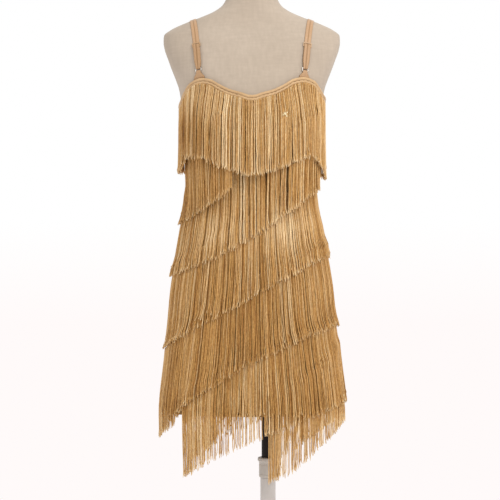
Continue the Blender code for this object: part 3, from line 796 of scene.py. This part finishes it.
def strand_tones(turn, radius, z, share, curl, tone, spread, rng):
    """How light each strand is at each of its points: its own tone, with painted light and shade added."""
    count = len(z)
    tone = tone + rng.normal(0, spread, count)
    tone += smooth_noise(rng, count, 10.0, -0.07, 0.07)
    along = tone[:, None] + 0.06 * np.sin(share * 9 + rng.uniform(0, 6, count)[:, None])
    along = along + CURL_PALE * curl + pale_patch(radius * np.cos(turn), z, turn)
    # Painted light: paler below the hem, as if lit through from behind
    along = along + BACKLIT_PAINTED_PALE * np.clip((HEM_Z - z) / 0.012, 0, 1)
    return np.clip(along, 0, 1)


def build_row(name, layers, line, shown, pale, cling, seed, root_rise=-0.001):
    """All strands of one row as one mesh, laid on what hangs below them."""
    rng = np.random.default_rng(seed)
    full_length = row_length(name, layers.turns)
    inside = layers.hang(line + max(root_rise, 0), full_length + SPARE_LENGTH, cling)
    outer_at = reach(CLOTH_SECTIONS, layers.turns, line)
    share = np.array(STRAND_SHARES)[None, :]
    curl = (np.clip(share - CURL_FROM, 0, None) / (1 - CURL_FROM)) ** 1.3
    spread = min(0.08 + 0.12 * pale, 0.14)
    all_points, all_tones = [], []
    for pitch, lift, shade in zip(STRAND_PITCH, STRAND_LIFT, STRAND_PAINTED_SHADE):
        roots, along = strand_roots(line, shown, layers.turns, outer_at, pitch, rng)
        root_reach = np.interp(roots, layers.turns, outer_at)
        keep = kept_strands(name, roots, root_reach * np.cos(roots), rng)
        roots, along, root_reach = roots[keep], along[keep], root_reach[keep]
        count = len(roots)
        x = root_reach * np.cos(roots)
        top = np.interp(roots, layers.turns, line)
        length = strand_lengths(name, roots, x, top + root_rise - HEM_Z, rng)
        depth = length[:, None] * share
        z = top[:, None] + root_rise - depth
        radius_here = layers.sample(inside, roots[:, None] + 0 * z, z)
        radius_here = np.where(radius_here > 0.05, radius_here, root_reach[:, None])
        drift = strand_sway(along, depth, share, rng)
        drift += np.clip(rng.normal(0, 0.0016, count), -0.0026, 0.0026)[:, None] * curl
        turn = roots[:, None] + drift / radius_here
        radius = layers.sample(inside, turn, z)
        radius = np.where(radius > 0.05, radius, radius_here)
        above = STRAND_RADIUS + lift + rng.uniform(0, 0.0008, count)[:, None] * np.clip(share * 3, 0, 1)
        above = above + rng.uniform(0, 0.0026, count)[:, None] * share ** 3
        above = above + rng.uniform(0, 0.0018, count)[:, None] * curl
        z = z + np.abs(rng.normal(0, 0.0012, count))[:, None] * curl
        all_points.append(place(turn, radius + above, z))
        # Painted light and shade: the row's paleness and the layer's painted shade set the strand's base
        # tone
        tone = 0.50 + 0.34 * (pale - 0.4) + shade
        all_tones.append(strand_tones(turn, radius, z, share, curl, tone, spread, rng))
    thickness = 2 * STRAND_RADIUS + STRAND_LIFT[-1]
    layers.cover(inside, np.where(shown, line, -1.0), full_length, thickness)
    centres, tones = np.concatenate(all_points), np.concatenate(all_tones)
    return strands_mesh("strands_" + name[-1], centres, tones, rng)


def strands_mesh(name, centres, tones, rng):
    """Tubes of a few sides along each strand's line, closed at both ends."""
    count, steps = centres.shape[:2]
    tangent = unit(np.gradient(centres, axis=1))
    outward = centres - np.array((BODY_X, 0, 0))
    outward[..., 2] = 0
    side = unit(np.cross(tangent, unit(outward)))
    front = np.cross(side, tangent)
    thickness = np.full((count, steps), STRAND_RADIUS) * rng.uniform(0.86, 1.12, count)[:, None]
    thickness[:, -1] *= 0.72
    twist = rng.uniform(0, math.pi / 2, count)[:, None] + np.arange(steps)[None, :] * 0.35
    rings = []
    for k in range(STRAND_SIDES):
        angle = twist + 2 * math.pi * k / STRAND_SIDES
        offset = side * np.cos(angle)[..., None] + front * np.sin(angle)[..., None]
        rings.append(centres + offset * thickness[..., None])
    points = np.stack(rings, axis=2)
    per_strand = steps * STRAND_SIDES
    one = grid_quads(steps, STRAND_SIDES, closed=True)
    caps = np.array([[3, 2, 1, 0], [per_strand - 4, per_strand - 3, per_strand - 2, per_strand - 1]])
    one = np.concatenate((one[:, ::-1], caps[:, ::-1]))
    quads = (one[None, :, :] + (np.arange(count) * per_strand)[:, None, None]).reshape(-1, 4)
    tone = np.repeat(tones.reshape(-1), STRAND_SIDES)
    return fast_object(name, points.reshape(-1, 3), quads, MATERIALS["fringe"], tone=tone)


def build_tape(name, layers, line, shown, lift=TAPE_LIFT):
    """The narrow woven tape that a row's strands hang from."""
    turns = layers.turns
    across = 4
    rows = []
    for k in range(across + 1):
        z = line - TAPE_HEIGHT * k / across
        rows.append(place(turns, reach(CLOTH_SECTIONS, turns, z) + lift, z))
    points = np.stack(rows)
    quads = grid_quads(across + 1, TURNS, closed=True)
    columns = quads % TURNS
    quads = quads[shown[columns].all(axis=1)]
    used = np.unique(quads)
    remap = np.zeros((across + 1) * TURNS, dtype=int)
    remap[used] = np.arange(len(used))
    points = points.reshape(-1, 3)[used]
    tape = fast_object("tape_" + name[-1], points, remap[quads][:, ::-1], MATERIALS["elastic"])
    thicken(tape, TAPE_THICKNESS, 1.0)
    return tape


def build_fringe():
    """All rows from the bottom up, and last the bust row, which hangs freely."""
    layers = Layers()
    turns = layers.turns
    pieces = []
    for number, name in enumerate(reversed(list(ROWS))):
        line, shown = slanted_line(name, turns)
        tape = build_tape(name, layers, line, shown)
        strands = build_row(name, layers, line, shown, ROWS[name][4], CLING, ROW_SEED + number)
        pieces.append((name, strands, tape))
    line = bust_line(turns)
    shown = np.ones(TURNS, dtype=bool)
    tape = build_tape("fringe_0", layers, line, shown, BUST_TAPE_LIFT)
    strands = build_row("fringe_0", layers, line, shown, BUST_PAINTED_PALE, 0.0, BUST_SEED, BUST_ROOT_RISE)
    pieces.append(("fringe_0", strands, tape))
    for name, strands, tape in pieces:
        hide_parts(name)
        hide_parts(name)
    return layers


# Cloth, binding and straps

def cloth_creases(turn, z):
    """Slight pulls and flutes of the knit: deeper towards the hem, faint at the waist."""
    low = np.clip((0.78 - z) / 0.23, 0, 1) ** 1.3
    waist = np.exp(-((z - 1.04) / 0.05) ** 2)
    flutes = 0.0016 * np.sin(turn * 13 + 0.6 * np.sin(turn * 3 + 1.0)) * low
    pulls = 0.0006 * np.sin(turn * 9 + (z - 1.04) * 60) * waist
    return -np.abs(flutes) - np.abs(pulls)


def build_cloth(side, front):
    """One panel of knit from side seam to side seam, thin."""
    start = math.pi if front else 0.0
    turns = start + np.linspace(CLOTH_SEAM, math.pi - CLOTH_SEAM, CLOTH_COLUMNS)
    share = np.linspace(0, 1, CLOTH_ROWS)[:, None]
    top = top_edge(turns)[None, :] - GAP
    z = HEM_Z + GAP + (top - HEM_Z - GAP) * share
    angle = np.broadcast_to(turns[None, :], z.shape)
    radius = reach(CLOTH_SECTIONS, angle, z) + cloth_creases(angle, z)
    points = place(angle, radius, z)
    quads = grid_quads(CLOTH_ROWS, CLOTH_COLUMNS)
    cloth = fast_object(side + "_cloth", points.reshape(-1, 3), quads, MATERIALS["knit"])
    thicken(cloth, CLOTH_THICKNESS, -1.0)
    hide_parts(side + "_panel")
    edge_a = points[1:, :-1] - points[:-1, :-1]
    edge_b = points[:-1, 1:] - points[:-1, :-1]
    area = float(np.linalg.norm(np.cross(edge_a, edge_b), axis=2).sum())
    width = float(np.linalg.norm(np.diff(points[0], axis=0), axis=1).sum())
    length = float(np.linalg.norm(np.diff(points[:, CLOTH_COLUMNS // 5], axis=0), axis=1).sum())
    return cloth, (width, length), area


def build_sequins(layers):
    """Small flat sequins sewn to the knit, and a few loose ones caught in the strands."""
    rng = np.random.default_rng(9)
    turn = rng.uniform(0, 2 * math.pi, SEQUINS)
    z = rng.uniform(HEM_Z + 0.004, SEQUINS_TOP, SEQUINS)
    radius = reach(CLOTH_SECTIONS, turn, z) + cloth_creases(turn, z) + 0.0003
    scatter_sequins("sequins", place(turn, radius, z), turn, 0.06, MATERIALS["sequin"], rng)
    for number, (degrees, height, spread, count) in enumerate(CAUGHT_SEQUINS):
        turn = math.radians(degrees) + rng.normal(0, spread / CAUGHT_REACH, count)
        z = height + rng.normal(0, spread, count)
        radius = layers.sample(layers.outer, turn, z) + CAUGHT_LIFT
        name = f"caught_sequins_{number}"
        scatter_sequins(name, place(turn, radius, z), turn, 0.35, MATERIALS["glint"], rng)


def scatter_sequins(name, centres, turn, tilt, material, rng):
    """Six-sided cupped discs at the given places, facing outward within a tilt."""
    count = len(centres)
    outward = outward_at(turn)
    outward = unit(outward + rng.normal(0, tilt, outward.shape))
    side = unit(np.cross(outward, (0, 0, 1.0)))
    up = np.cross(side, outward)
    size = rng.uniform(*SEQUIN_SIZES, count)[:, None]
    corners = SEQUIN_CORNERS
    points = []
    for ring, lift in ((1.0, 0.0), (SEQUIN_RIM, SEQUIN_CUP)):
        for k in range(corners):
            a = 2 * math.pi * k / corners
            spoke = side * math.cos(a) + up * math.sin(a)
            points.append(centres + spoke * size * ring + outward * lift)
    points = np.stack(points, axis=1).reshape(-1, 3)
    faces = []
    for k in range(corners):
        n = (k + 1) % corners
        faces.append((k, n, corners + n, corners + k))
    faces.append((corners, corners + 1, corners + 2, corners + 3))
    faces.append((corners, corners + 3, corners + 4, corners + 5))
    faces.append((3, 2, 1, 0))
    faces.append((5, 4, 3, 0))
    one = np.array(faces)
    quads = (one[None] + (np.arange(count) * corners * 2)[:, None, None]).reshape(-1, 4)
    made = fast_object(name, points, quads, material, smooth=False)


def swept(name, centres, side, up, outline, material):
    """A band of a given cross-section (points across and up) along a line of centres."""
    points = []
    for a, b in outline:
        points.append(centres + side * np.asarray(a).reshape(-1, 1) + up * np.asarray(b).reshape(-1, 1))
    points = np.stack(points, axis=1).reshape(-1, 3)
    made = new_object(name, points, capped_faces(len(centres), len(outline)), material)
    tidy_mesh(made)
    return made


def tidy_mesh(piece, merge=0.0):
    """Join points closer together than merge, and turn all faces outward."""
    shape = bmesh.new()
    shape.from_mesh(piece.data)
    if merge:
        bmesh.ops.remove_doubles(shape, verts=shape.verts, dist=merge)
    bmesh.ops.recalc_face_normals(shape, faces=shape.faces)
    shape.to_mesh(piece.data)
    shape.free()


def oval(width, height, sides=12, lift=0.0):
    """Cross-section points of a flattened round: pairs of across and up."""
    points = []
    for k in range(sides):
        a = 2 * math.pi * k / sides
        points.append((width / 2 * math.cos(a), lift + height / 2 * math.sin(a)))
    return points


def build_binding(side, front):
    """The neckline's double edging: two soft rolls of elastic with stitches between them."""
    start = math.pi if front else 0.0
    turns = start + np.linspace(EDGING_SEAM, math.pi - EDGING_SEAM, EDGING_POINTS)
    top = top_edge(turns)
    made = []
    rng = np.random.default_rng(5 if front else 6)
    for number, (below, roll) in enumerate(EDGING_ROLLS):
        ruffle = 0.00035 * np.sin(np.arange(EDGING_POINTS) * 1.1)
        ruffle += rng.normal(0, 0.00012, EDGING_POINTS)
        z = top - below + ruffle * (0.5 + number)
        radius = reach(CLOTH_SECTIONS, turns, z) + EDGING_LIFT
        centres = place(turns, radius, z)
        tangent = unit(np.gradient(centres, axis=0))
        down = unit(np.cross(tangent, outward_at(turns)))
        outward = np.cross(down, tangent)
        outline = oval(roll, EDGING_THICKNESS)
        piece = swept(f"{side}_edging_{number}", centres, down, outward, outline, MATERIALS["elastic"])
        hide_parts(side + "_binding")
        made.append(piece)
    stitches = build_edge_stitches(side, turns, top)
    made.append(stitches)
    return made


def build_edge_stitches(side, turns, top):
    """A zigzag of thread along the groove between the two rolls."""
    at = np.linspace(turns[0], turns[-1], EDGE_STITCHES * 2 + 1)
    groove = (EDGING_ROLLS[0][0] + EDGING_ROLLS[1][0]) / 2
    zigzag = STITCH_REACH * np.where(np.arange(len(at)) % 2, 1, -1)
    height = np.interp(at, turns, top) - groove + zigzag
    radius = reach(CLOTH_SECTIONS, at, height) + EDGING_LIFT + EDGING_THICKNESS * 0.3
    centres = place(at, radius, height)
    outward = outward_at(at)
    sideways = unit(np.cross(unit(np.gradient(centres, axis=0)), outward))
    outline = oval(0.0007, 0.0005, 4)
    return swept(side + "_edge_stitches", centres, sideways, outward, outline, MATERIALS["thread"])


def build_form():
    """The torso's linen skin, sampled finely over the same sections."""
    columns = 160
    heights = np.concatenate((
        np.linspace(FORM_BOTTOM, 0.730, 8)[:-1],
        np.linspace(0.730, 1.340, 60)[:-1],
        np.linspace(1.340, 1.470, 46)[:-1],
        np.linspace(1.470, NECK_TOP, 5),
    ))
    turns = np.arange(columns) * 2 * math.pi / columns
    z, angle = np.meshgrid(heights, turns, indexing="ij")
    points = place(angle, reach(FORM_SECTIONS, angle, z), z).reshape(-1, 3)
    faces = capped_faces(len(heights), columns)
    torso = new_object("torso_skin", points, faces, MATERIALS["linen"])
    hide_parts("form_torso")


# Straps

def surface_depth(x, z):
    """Depth of the torso's front and of its back at places x and heights z."""
    columns = smooth_columns(FORM_SECTIONS, z)
    share = np.clip(1 - (np.abs(x) / columns[..., 0]) ** ROUNDNESS, 0, 1) ** (1 / ROUNDNESS)
    return columns[..., 1] * share, columns[..., 2] * share


def shoulder_height(x):
    """Height of the shoulder's surface at places x from the middle, found by halving."""
    low = np.full_like(x, 1.379)
    high = np.full_like(x, 1.475)
    for _ in range(40):
        middle = (low + high) / 2
        wide = smooth_columns(FORM_SECTIONS, middle)[..., 0] > x
        low = np.where(wide, middle, low)
        high = np.where(wide, high, middle)
    return low


def form_level(x, y, z):
    """One on the torso's surface, less inside it and more outside."""
    columns = smooth_columns(FORM_SECTIONS, z)
    depth = np.where(y < 0, columns[..., 1], columns[..., 2])
    return (np.abs(x) / columns[..., 0]) ** ROUNDNESS + (np.abs(y) / depth) ** ROUNDNESS


def strap_route(side, count=161):
    """Centres, run, outward and crossways directions of a strap's line on the torso."""
    s = np.linspace(-1, 1, count)
    end_x = np.where(s < 0, STRAP_X_FRONT, STRAP_X_BACK)
    end_z = np.where(s < 0, RING_Z, STRAP_BACK_Z)
    x = STRAP_X_TOP + (end_x - STRAP_X_TOP) * np.abs(s) ** 1.5
    ridge = shoulder_height(x)
    z = ridge - (ridge - end_z) * s * s
    front, back = surface_depth(x, z)
    y = np.where(s < 0, -front, back)
    h = 0.002
    outward = np.stack((
        form_level(side * x + h, y, z) - form_level(side * x - h, y, z),
        form_level(side * x, y + h, z) - form_level(side * x, y - h, z),
        form_level(side * x, y, z + h) - form_level(side * x, y, z - h),
    ), axis=-1)
    outward = unit(outward)
    for _ in range(6):
        outward[1:-1] = (outward[:-2] + 2 * outward[1:-1] + outward[2:]) / 4
    points = np.stack((BODY_X + side * x, y, z), axis=-1)
    tangent = unit(np.gradient(points, axis=0))
    across = unit(np.cross(tangent, outward))
    return points, tangent, np.cross(across, tangent), across


def web_outline(widths, thickness, groove, points=21):
    """Cross-section of satin strap: soft edges, a groove down the middle, flat underneath. Its tones paint
    shade: darker in the groove, towards the edges and underneath.
    """
    u = np.linspace(-1, 1, points)
    hollow = groove * np.exp(-(u / 0.16) ** 2)
    swell = np.sqrt(np.clip(1 - u ** 6, 0, 1))
    outline = [(widths / 2 * a, thickness / 2 * (1.1 * b - 0.8 * c)) for a, b, c in zip(u, swell, hollow)]
    outline += [(widths / 2 * a, -thickness / 2) for a in u[::-1] * 0.97]
    # Painted shade: darker in the groove, towards the edges and on the flat underside
    tones = [*(0.55 + 0.45 * swell - 0.85 * hollow), *([0.4] * points)]
    return outline, tones


def build_web(name, centres, outward, across, widths, shade, thickness=STRAP_THICKNESS, groove=1.0):
    """A satin band; its tone is the cross-section's painted shade, with the painted shade of each row of
    points added.
    """
    outline, tones = web_outline(widths, thickness, groove)
    made = swept(name, centres, across, outward, outline, MATERIALS["satin"])
    layer = made.data.attributes.new("tone", "FLOAT", "POINT")
    tone = np.tile(tones, len(centres)) + np.repeat(shade, len(tones))
    layer.data.foreach_set("value", tone.astype(np.float32))
    return made


def fold(centre, along, up, radius, steps=14):
    """Half a turn round a ring's wire, from the outer run to the inner one."""
    angles = math.pi / 2 - math.pi * np.arange(steps + 1) / steps
    directions = up * np.sin(angles)[:, None] - along * np.cos(angles)[:, None]
    return centre + directions * radius, directions


def build_lathe(name, profile, material, body, sides=72):
    """A closed piece turned about the pole's axis, from (radius, height) points."""
    angles = np.arange(sides) * 2 * math.pi / sides
    table = np.array(profile)
    points = np.stack((
        table[:, 0][:, None] * np.cos(angles),
        table[:, 0][:, None] * np.sin(angles),
        np.repeat(table[:, 1][:, None], sides, axis=1),
    ), axis=-1).reshape(-1, 3)
    made = new_object(name, points, torus_quads(len(profile), sides), material, body)
    tidy_mesh(made, merge=1e-5)
    made.data.set_sharp_from_angle(angle=math.radians(35))
    return made


def rounded(profile, radius=0.0009, steps=4):
    """A closed profile with each of its corners turned into a small arc."""
    corners = np.array(profile, dtype=float)
    rounded_points = []
    for i, corner in enumerate(corners):
        before = corners[i - 1] - corner
        after = corners[(i + 1) % len(corners)] - corner
        if corner[0] < 1e-6:
            rounded_points.append(corner)
            continue
        size_before, size_after = np.linalg.norm(before), np.linalg.norm(after)
        start = corner + before / size_before * min(radius, size_before * 0.4)
        end = corner + after / size_after * min(radius, size_after * 0.4)
        for t in np.linspace(0, 1, steps):
            rounded_points.append((1 - t) ** 2 * start + 2 * t * (1 - t) * corner + t * t * end)
    return rounded_points


def build_stand():
    """Base, tube, collar and rod, turned smoothly over the same sizes as the solids."""
    boss = TUBE_RADIUS + BASE_BOSS_WALL
    socket = BASE_BOSS_TOP - BASE_SOCKET
    base = [
        (0, socket), (TUBE_RADIUS + GAP, socket), (TUBE_RADIUS + GAP, BASE_BOSS_TOP),
        (boss - 0.002, BASE_BOSS_TOP), (boss, BASE_BOSS_TOP - 0.003), (boss + 0.003, BASE_EDGE + 0.006),
        (boss + 0.012, BASE_EDGE + 0.001), (BASE_RADIUS - 0.012, BASE_EDGE),
        (BASE_RADIUS - 0.002, BASE_EDGE - 0.002), (BASE_RADIUS, BASE_EDGE - 0.004), (BASE_RADIUS, 0), (0, 0),
    ]
    tube = [
        (TUBE_BORE, COLLAR_BOTTOM - GAP), (TUBE_RADIUS, COLLAR_BOTTOM - GAP),
        (TUBE_RADIUS, socket + GAP), (TUBE_BORE, socket + GAP),
    ]
    bore = ROD_RADIUS + GAP
    lip = COLLAR_TOP - COLLAR_LIP
    collar = [
        (bore, COLLAR_TOP), (COLLAR_LIP_RADIUS - 0.0015, COLLAR_TOP),
        (COLLAR_LIP_RADIUS, COLLAR_TOP - 0.002),
        (COLLAR_LIP_RADIUS, lip + 0.001), (COLLAR_LIP_RADIUS - 0.001, lip), (COLLAR_RADIUS, lip - 0.002),
        (COLLAR_RADIUS, lip - 0.006), (COLLAR_RADIUS - 0.0008, lip - 0.0068), (COLLAR_RADIUS, lip - 0.0076),
        (COLLAR_RADIUS, COLLAR_BOTTOM + 0.009), (COLLAR_RADIUS - 0.0008, COLLAR_BOTTOM + 0.0082),
        (COLLAR_RADIUS, COLLAR_BOTTOM + 0.0074), (COLLAR_RADIUS, COLLAR_BOTTOM + 0.002),
        (COLLAR_RADIUS - 0.002, COLLAR_BOTTOM), (bore, COLLAR_BOTTOM),
    ]
    rod_top = FORM_BOTTOM - GAP
    rod = [(0, rod_top), (ROD_RADIUS, rod_top), (ROD_RADIUS, ROD_BOTTOM), (0, ROD_BOTTOM)]
    for node, profile, key, body in (
        ("base_plate", base, "stand", "stand"),
        ("stand_tube", tube, "stand", "stand"),
        ("height_collar", collar, "collar", "stand"),
        ("rod", rod, "rod", "rod"),
    ):
        turned = build_lathe("smooth_" + node, rounded(profile), MATERIALS[key], body)
        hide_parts(node)


def build_torus(name, centre, wide, along, up, radius, wire, turns=48, sides=12):
    """A ring of round wire lying in the plane of wide and along."""
    a = np.arange(turns) * 2 * math.pi / turns
    b = np.arange(sides) * 2 * math.pi / sides
    a, b = np.meshgrid(a, b, indexing="ij")
    out = (radius + wire * np.cos(b))[..., None]
    points = centre + out * (np.cos(a)[..., None] * wide + np.sin(a)[..., None] * along)
    points = points + (wire * np.sin(b))[..., None] * up
    made = new_object(name, points.reshape(-1, 3), torus_quads(turns, sides), MATERIALS["metal"])
    tidy_mesh(made)
    return made


def build_tack(name, centre, wide, along, up, width, height):
    """A bar tack: a close zigzag of thread across a strap's sewn end."""
    count = 26
    t = np.linspace(-1, 1, count)
    zigzag = np.where(np.arange(count) % 2, 0.5, -0.5) * height
    centres = centre + wide * (t * width / 2)[:, None] + along * zigzag[:, None]
    sideways = unit(np.cross(unit(np.gradient(centres, axis=0)), up))
    upward = np.tile(up, (count, 1))
    made = swept(name, centres, sideways, upward, oval(0.0006, 0.0005, 5), MATERIALS["thread"])
    return made


def build_strap(word, side):
    """One strap folded through its ring, with the ring and the tab that ties it to the edging."""
    route, tangents, outward, across = strap_route(side)
    up, along, wide = outward[0], tangents[0], across[0]
    run_gap = RING_WIRE + GAP + STRAP_THICKNESS / 2
    lift_inner = STRAP_LIFT + STRAP_THICKNESS / 2
    ring_lift = lift_inner + run_gap
    return_lift = ring_lift + run_gap
    ring_centre = route[0] + up * ring_lift
    lengths = distances(route)
    sag = RING_RADIUS - math.sqrt(RING_RADIUS ** 2 - (STRAP_NARROW / 2) ** 2)
    fold_at = RING_RADIUS - sag - FOLD_SLACK

    def on_route(length, lift):
        place_at, normal, sideways = (
            np.array([np.interp(length, lengths, line[:, k]) for k in range(3)])
            for line in (route, outward, across)
        )
        return place_at + normal * lift, normal, sideways

    start = SLIDER_ABOVE_RING + SLIDER_OVERLAP
    runs = [
        (start, lift_inner + 0.0013),
        (start - 0.0007, return_lift - 0.0009),
        (start - 0.002, return_lift),
    ]
    runs += [(length, return_lift) for length in np.linspace(start - 0.004, fold_at + FOLD_LEAD, 24)]
    rows = [(*on_route(length, lift), length) for length, lift in runs]
    bent, bent_normals = fold(ring_centre + along * fold_at, along, up, run_gap)
    rows += [(place_at, normal, wide, 0.0) for place_at, normal in zip(bent, bent_normals)]
    returned = len(rows)
    inner = [fold_at + FOLD_LEAD, *(length for length in lengths if length > fold_at + FOLD_LEAD)]
    rows += [(*on_route(length, lift_inner), length) for length in inner]
    centres, normals, sides, at = (np.array(column) for column in zip(*rows))
    share = np.clip((at - RING_RADIUS) / STRAP_TAPER, 0, 1)
    widths = STRAP_NARROW + (STRAP_WIDTH - STRAP_NARROW) * share
    # Painted shade: the strap's returned end is coloured darker
    shade = np.where(np.arange(len(rows)) < returned, RETURN_PAINTED_SHADE, 0.0)
    web = build_web("web_" + word, centres, normals, sides, widths, shade)
    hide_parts("strap_" + word)

    ring = build_torus("round_ring_" + word, ring_centre, wide, along, up, RING_RADIUS, RING_WIRE)
    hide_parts("ring_" + word)

    outer = [
        (-TAB_DROP, TAB_WIDTH),
        (-TAB_DROP * 0.72, TAB_WIDTH * 0.88),
        (-fold_at - FOLD_LEAD, STRAP_NARROW),
    ]
    sinks = (TAB_SINK, TAB_SINK * 0.9, 0.0)
    bent, bent_normals = fold(ring_centre - along * fold_at, -along, up, run_gap)
    rows = [
        (ring_centre + along * length + up * (run_gap - sink), up, width)
        for (length, width), sink in zip(outer, sinks)
    ]
    rows += [(place_at, normal, STRAP_NARROW) for place_at, normal in zip(bent, bent_normals)]
    rows += [(ring_centre + along * length - up * run_gap, -up, width) for length, width in reversed(outer)]
    centres, normals, widths = (np.array(column) for column in zip(*rows))
    sides = np.tile(wide, (len(rows), 1))
    # Painted shade: the tab is coloured darker than the strap
    shade = np.full(len(rows), TAB_PAINTED_SHADE)
    tab = build_web("tie_" + word, centres, normals, sides, widths, shade, TAB_THICKNESS, 0.0)
    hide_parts("tab_" + word)

    tack_at = ring_centre - along * TACK_DROP + up * (run_gap - TAB_SINK * 0.8 + STRAP_THICKNESS * 0.5)
    build_tack("front_tack_" + word, tack_at, wide, along, up, TAB_WIDTH * 0.6, 0.0012)
    back_at, normal, sideways = on_route(lengths[-1] - 0.004, lift_inner + STRAP_THICKNESS * 0.55)
    build_tack("back_tack_" + word, back_at, sideways, tangents[-1], normal, STRAP_WIDTH * 0.85, 0.0014)


# Materials in use

MATERIALS = {
    "fringe": fringe_material(),
    "knit": knit_material(),
    "sequin": sequin_material("sequin_gold", (0.70, 0.44, 0.16), (1.0, 0.82, 0.48), 0.9),
    "glint": sequin_material("sequin_pale", (0.90, 0.72, 0.36), (1.0, 0.93, 0.68), 0.5),
    "elastic": elastic_material(),
    "satin": satin_material(),
    "linen": linen_material(),
    "thread": paint_material("thread_tan", (0.42, 0.26, 0.13), (0.52, 0.34, 0.19), 0.6, 0.0),
    "stand": paint_material("stand_paint", (0.50, 0.455, 0.42), (0.58, 0.535, 0.50), 0.34, 0.25),
    "collar": paint_material("collar_plastic", (0.47, 0.42, 0.37), (0.53, 0.475, 0.42), 0.42, 0.0),
    "rod": paint_material("rod_paint", (0.005, 0.002, 0.002), (0.011, 0.005, 0.005), 0.55, 0.0, 0.0),
    "cap": paint_material("cap_paint", (0.44, 0.38, 0.33), (0.50, 0.44, 0.385), 0.5, 0.0),
    "slider": paint_material("coated_metal", (0.38, 0.225, 0.11), (0.50, 0.32, 0.17), 0.4, 0.0),
    "metal": paint_material("fitting_metal", (0.50, 0.47, 0.43), (0.64, 0.61, 0.57), 0.26, 1.0),
}


def dress_nodes():
    """Better materials on the solids whose shape is already right."""
    for node, key in (("neck_cap", "cap"), ("slider_left", "slider"), ("slider_right", "slider")):
        for slot in bpy.data.objects[node].material_slots:
            slot.material = MATERIALS[key]


# Stage

def add_area(name, place_at, aim, size, power, colour=(1, 1, 1)):
    """A rectangular light that faces its aim."""
    light = bpy.data.lights.new(name, "AREA")
    light.shape = "RECTANGLE"
    light.size, light.size_y = size
    light.energy = power
    light.color = colour
    made = bpy.data.objects.new(name, light)
    made.location = place_at
    direction = np.array(aim) - np.array(place_at)
    made.rotation_euler = Vector(direction).to_track_quat("-Z", "Y").to_euler()
    bpy.context.scene.collection.objects.link(made)


def build_floor():
    """A plain pale disc."""
    floor_mesh = bpy.data.meshes.new("floor")
    shape = bmesh.new()
    bmesh.ops.create_circle(shape, cap_ends=True, radius=FLOOR_RADIUS, segments=96)
    shape.to_mesh(floor_mesh)
    shape.free()
    floor = bpy.data.objects.new("floor", floor_mesh)
    floor.location = (0, 0, -0.0005)
    pale = Nodes("floor_pale", roughness=0.7)
    tones = [(0.3, (0.86, 0.845, 0.84)), (0.7, (0.90, 0.885, 0.88))]
    pale.link(pale.ramp(pale.noise(3.0), tones), "Base Color")
    floor_mesh.materials.append(pale.material)
    bpy.context.scene.collection.objects.link(floor)


def build_world():
    """A plain glow from all round, slightly pink below."""
    world = bpy.data.worlds.new("studio")
    world.use_nodes = True
    background = world.node_tree.nodes["Background"]
    background.inputs["Strength"].default_value = WORLD_LIGHT
    add = world.node_tree.nodes.new
    join = world.node_tree.links.new
    source = add("ShaderNodeTexCoord")
    split = add("ShaderNodeSeparateXYZ")
    span = add("ShaderNodeMapRange")
    span.inputs["From Min"].default_value = WORLD_PINK_BELOW
    span.inputs["From Max"].default_value = WORLD_WHITE_ABOVE
    ramp = add("ShaderNodeValToRGB")
    ramp.color_ramp.elements[0].color = WORLD_PINK
    ramp.color_ramp.elements[1].color = (1, 1, 1, 1)
    join(source.outputs["Generated"], split.inputs[0])
    join(split.outputs["Z"], span.inputs["Value"])
    join(span.outputs["Result"], ramp.inputs["Fac"])
    join(ramp.outputs["Color"], background.inputs["Color"])
    bpy.context.scene.world = world


def build_lights_and_camera():
    """Soft studio light, and the camera at the photo's angle."""
    target = (BODY_X, 0, 0.95)
    add_area("key", (1.6, -2.2, 2.9), target, (1.2, 1.6), KEY_LIGHT, (1.0, 0.97, 0.93))
    add_area("fill", (-2.2, -2.0, 1.4), target, (1.6, 1.8), FILL_LIGHT, (1.0, 0.98, 0.96))
    add_area("back", (0.6, 2.4, 2.2), target, (1.6, 1.2), BACK_LIGHT)

    camera = bpy.data.cameras.new("camera")
    camera.sensor_width = SENSOR
    camera.lens = SENSOR * CAMERA_DISTANCE / (PIXEL * FRAME_PIXELS)
    made = bpy.data.objects.new("camera", camera)
    made.location = (FRAME_MIDDLE[0], -CAMERA_DISTANCE, FRAME_MIDDLE[1])
    made.rotation_euler = (math.pi / 2, 0, 0)
    bpy.context.scene.collection.objects.link(made)
    bpy.context.scene.camera = made
    bpy.context.scene.view_settings.view_transform = "Standard"


# The whole scene

build_floor()
build_world()
build_lights_and_camera()
dress_nodes()
build_form()
layers = build_fringe()
build_sequins(layers)
build_stand()
build_strap("left", -1)
build_strap("right", 1)
for side, front in (("front", True), ("back", False)):
    cloth, flat, area = build_cloth(side, front)
    edging = build_binding(side, front)
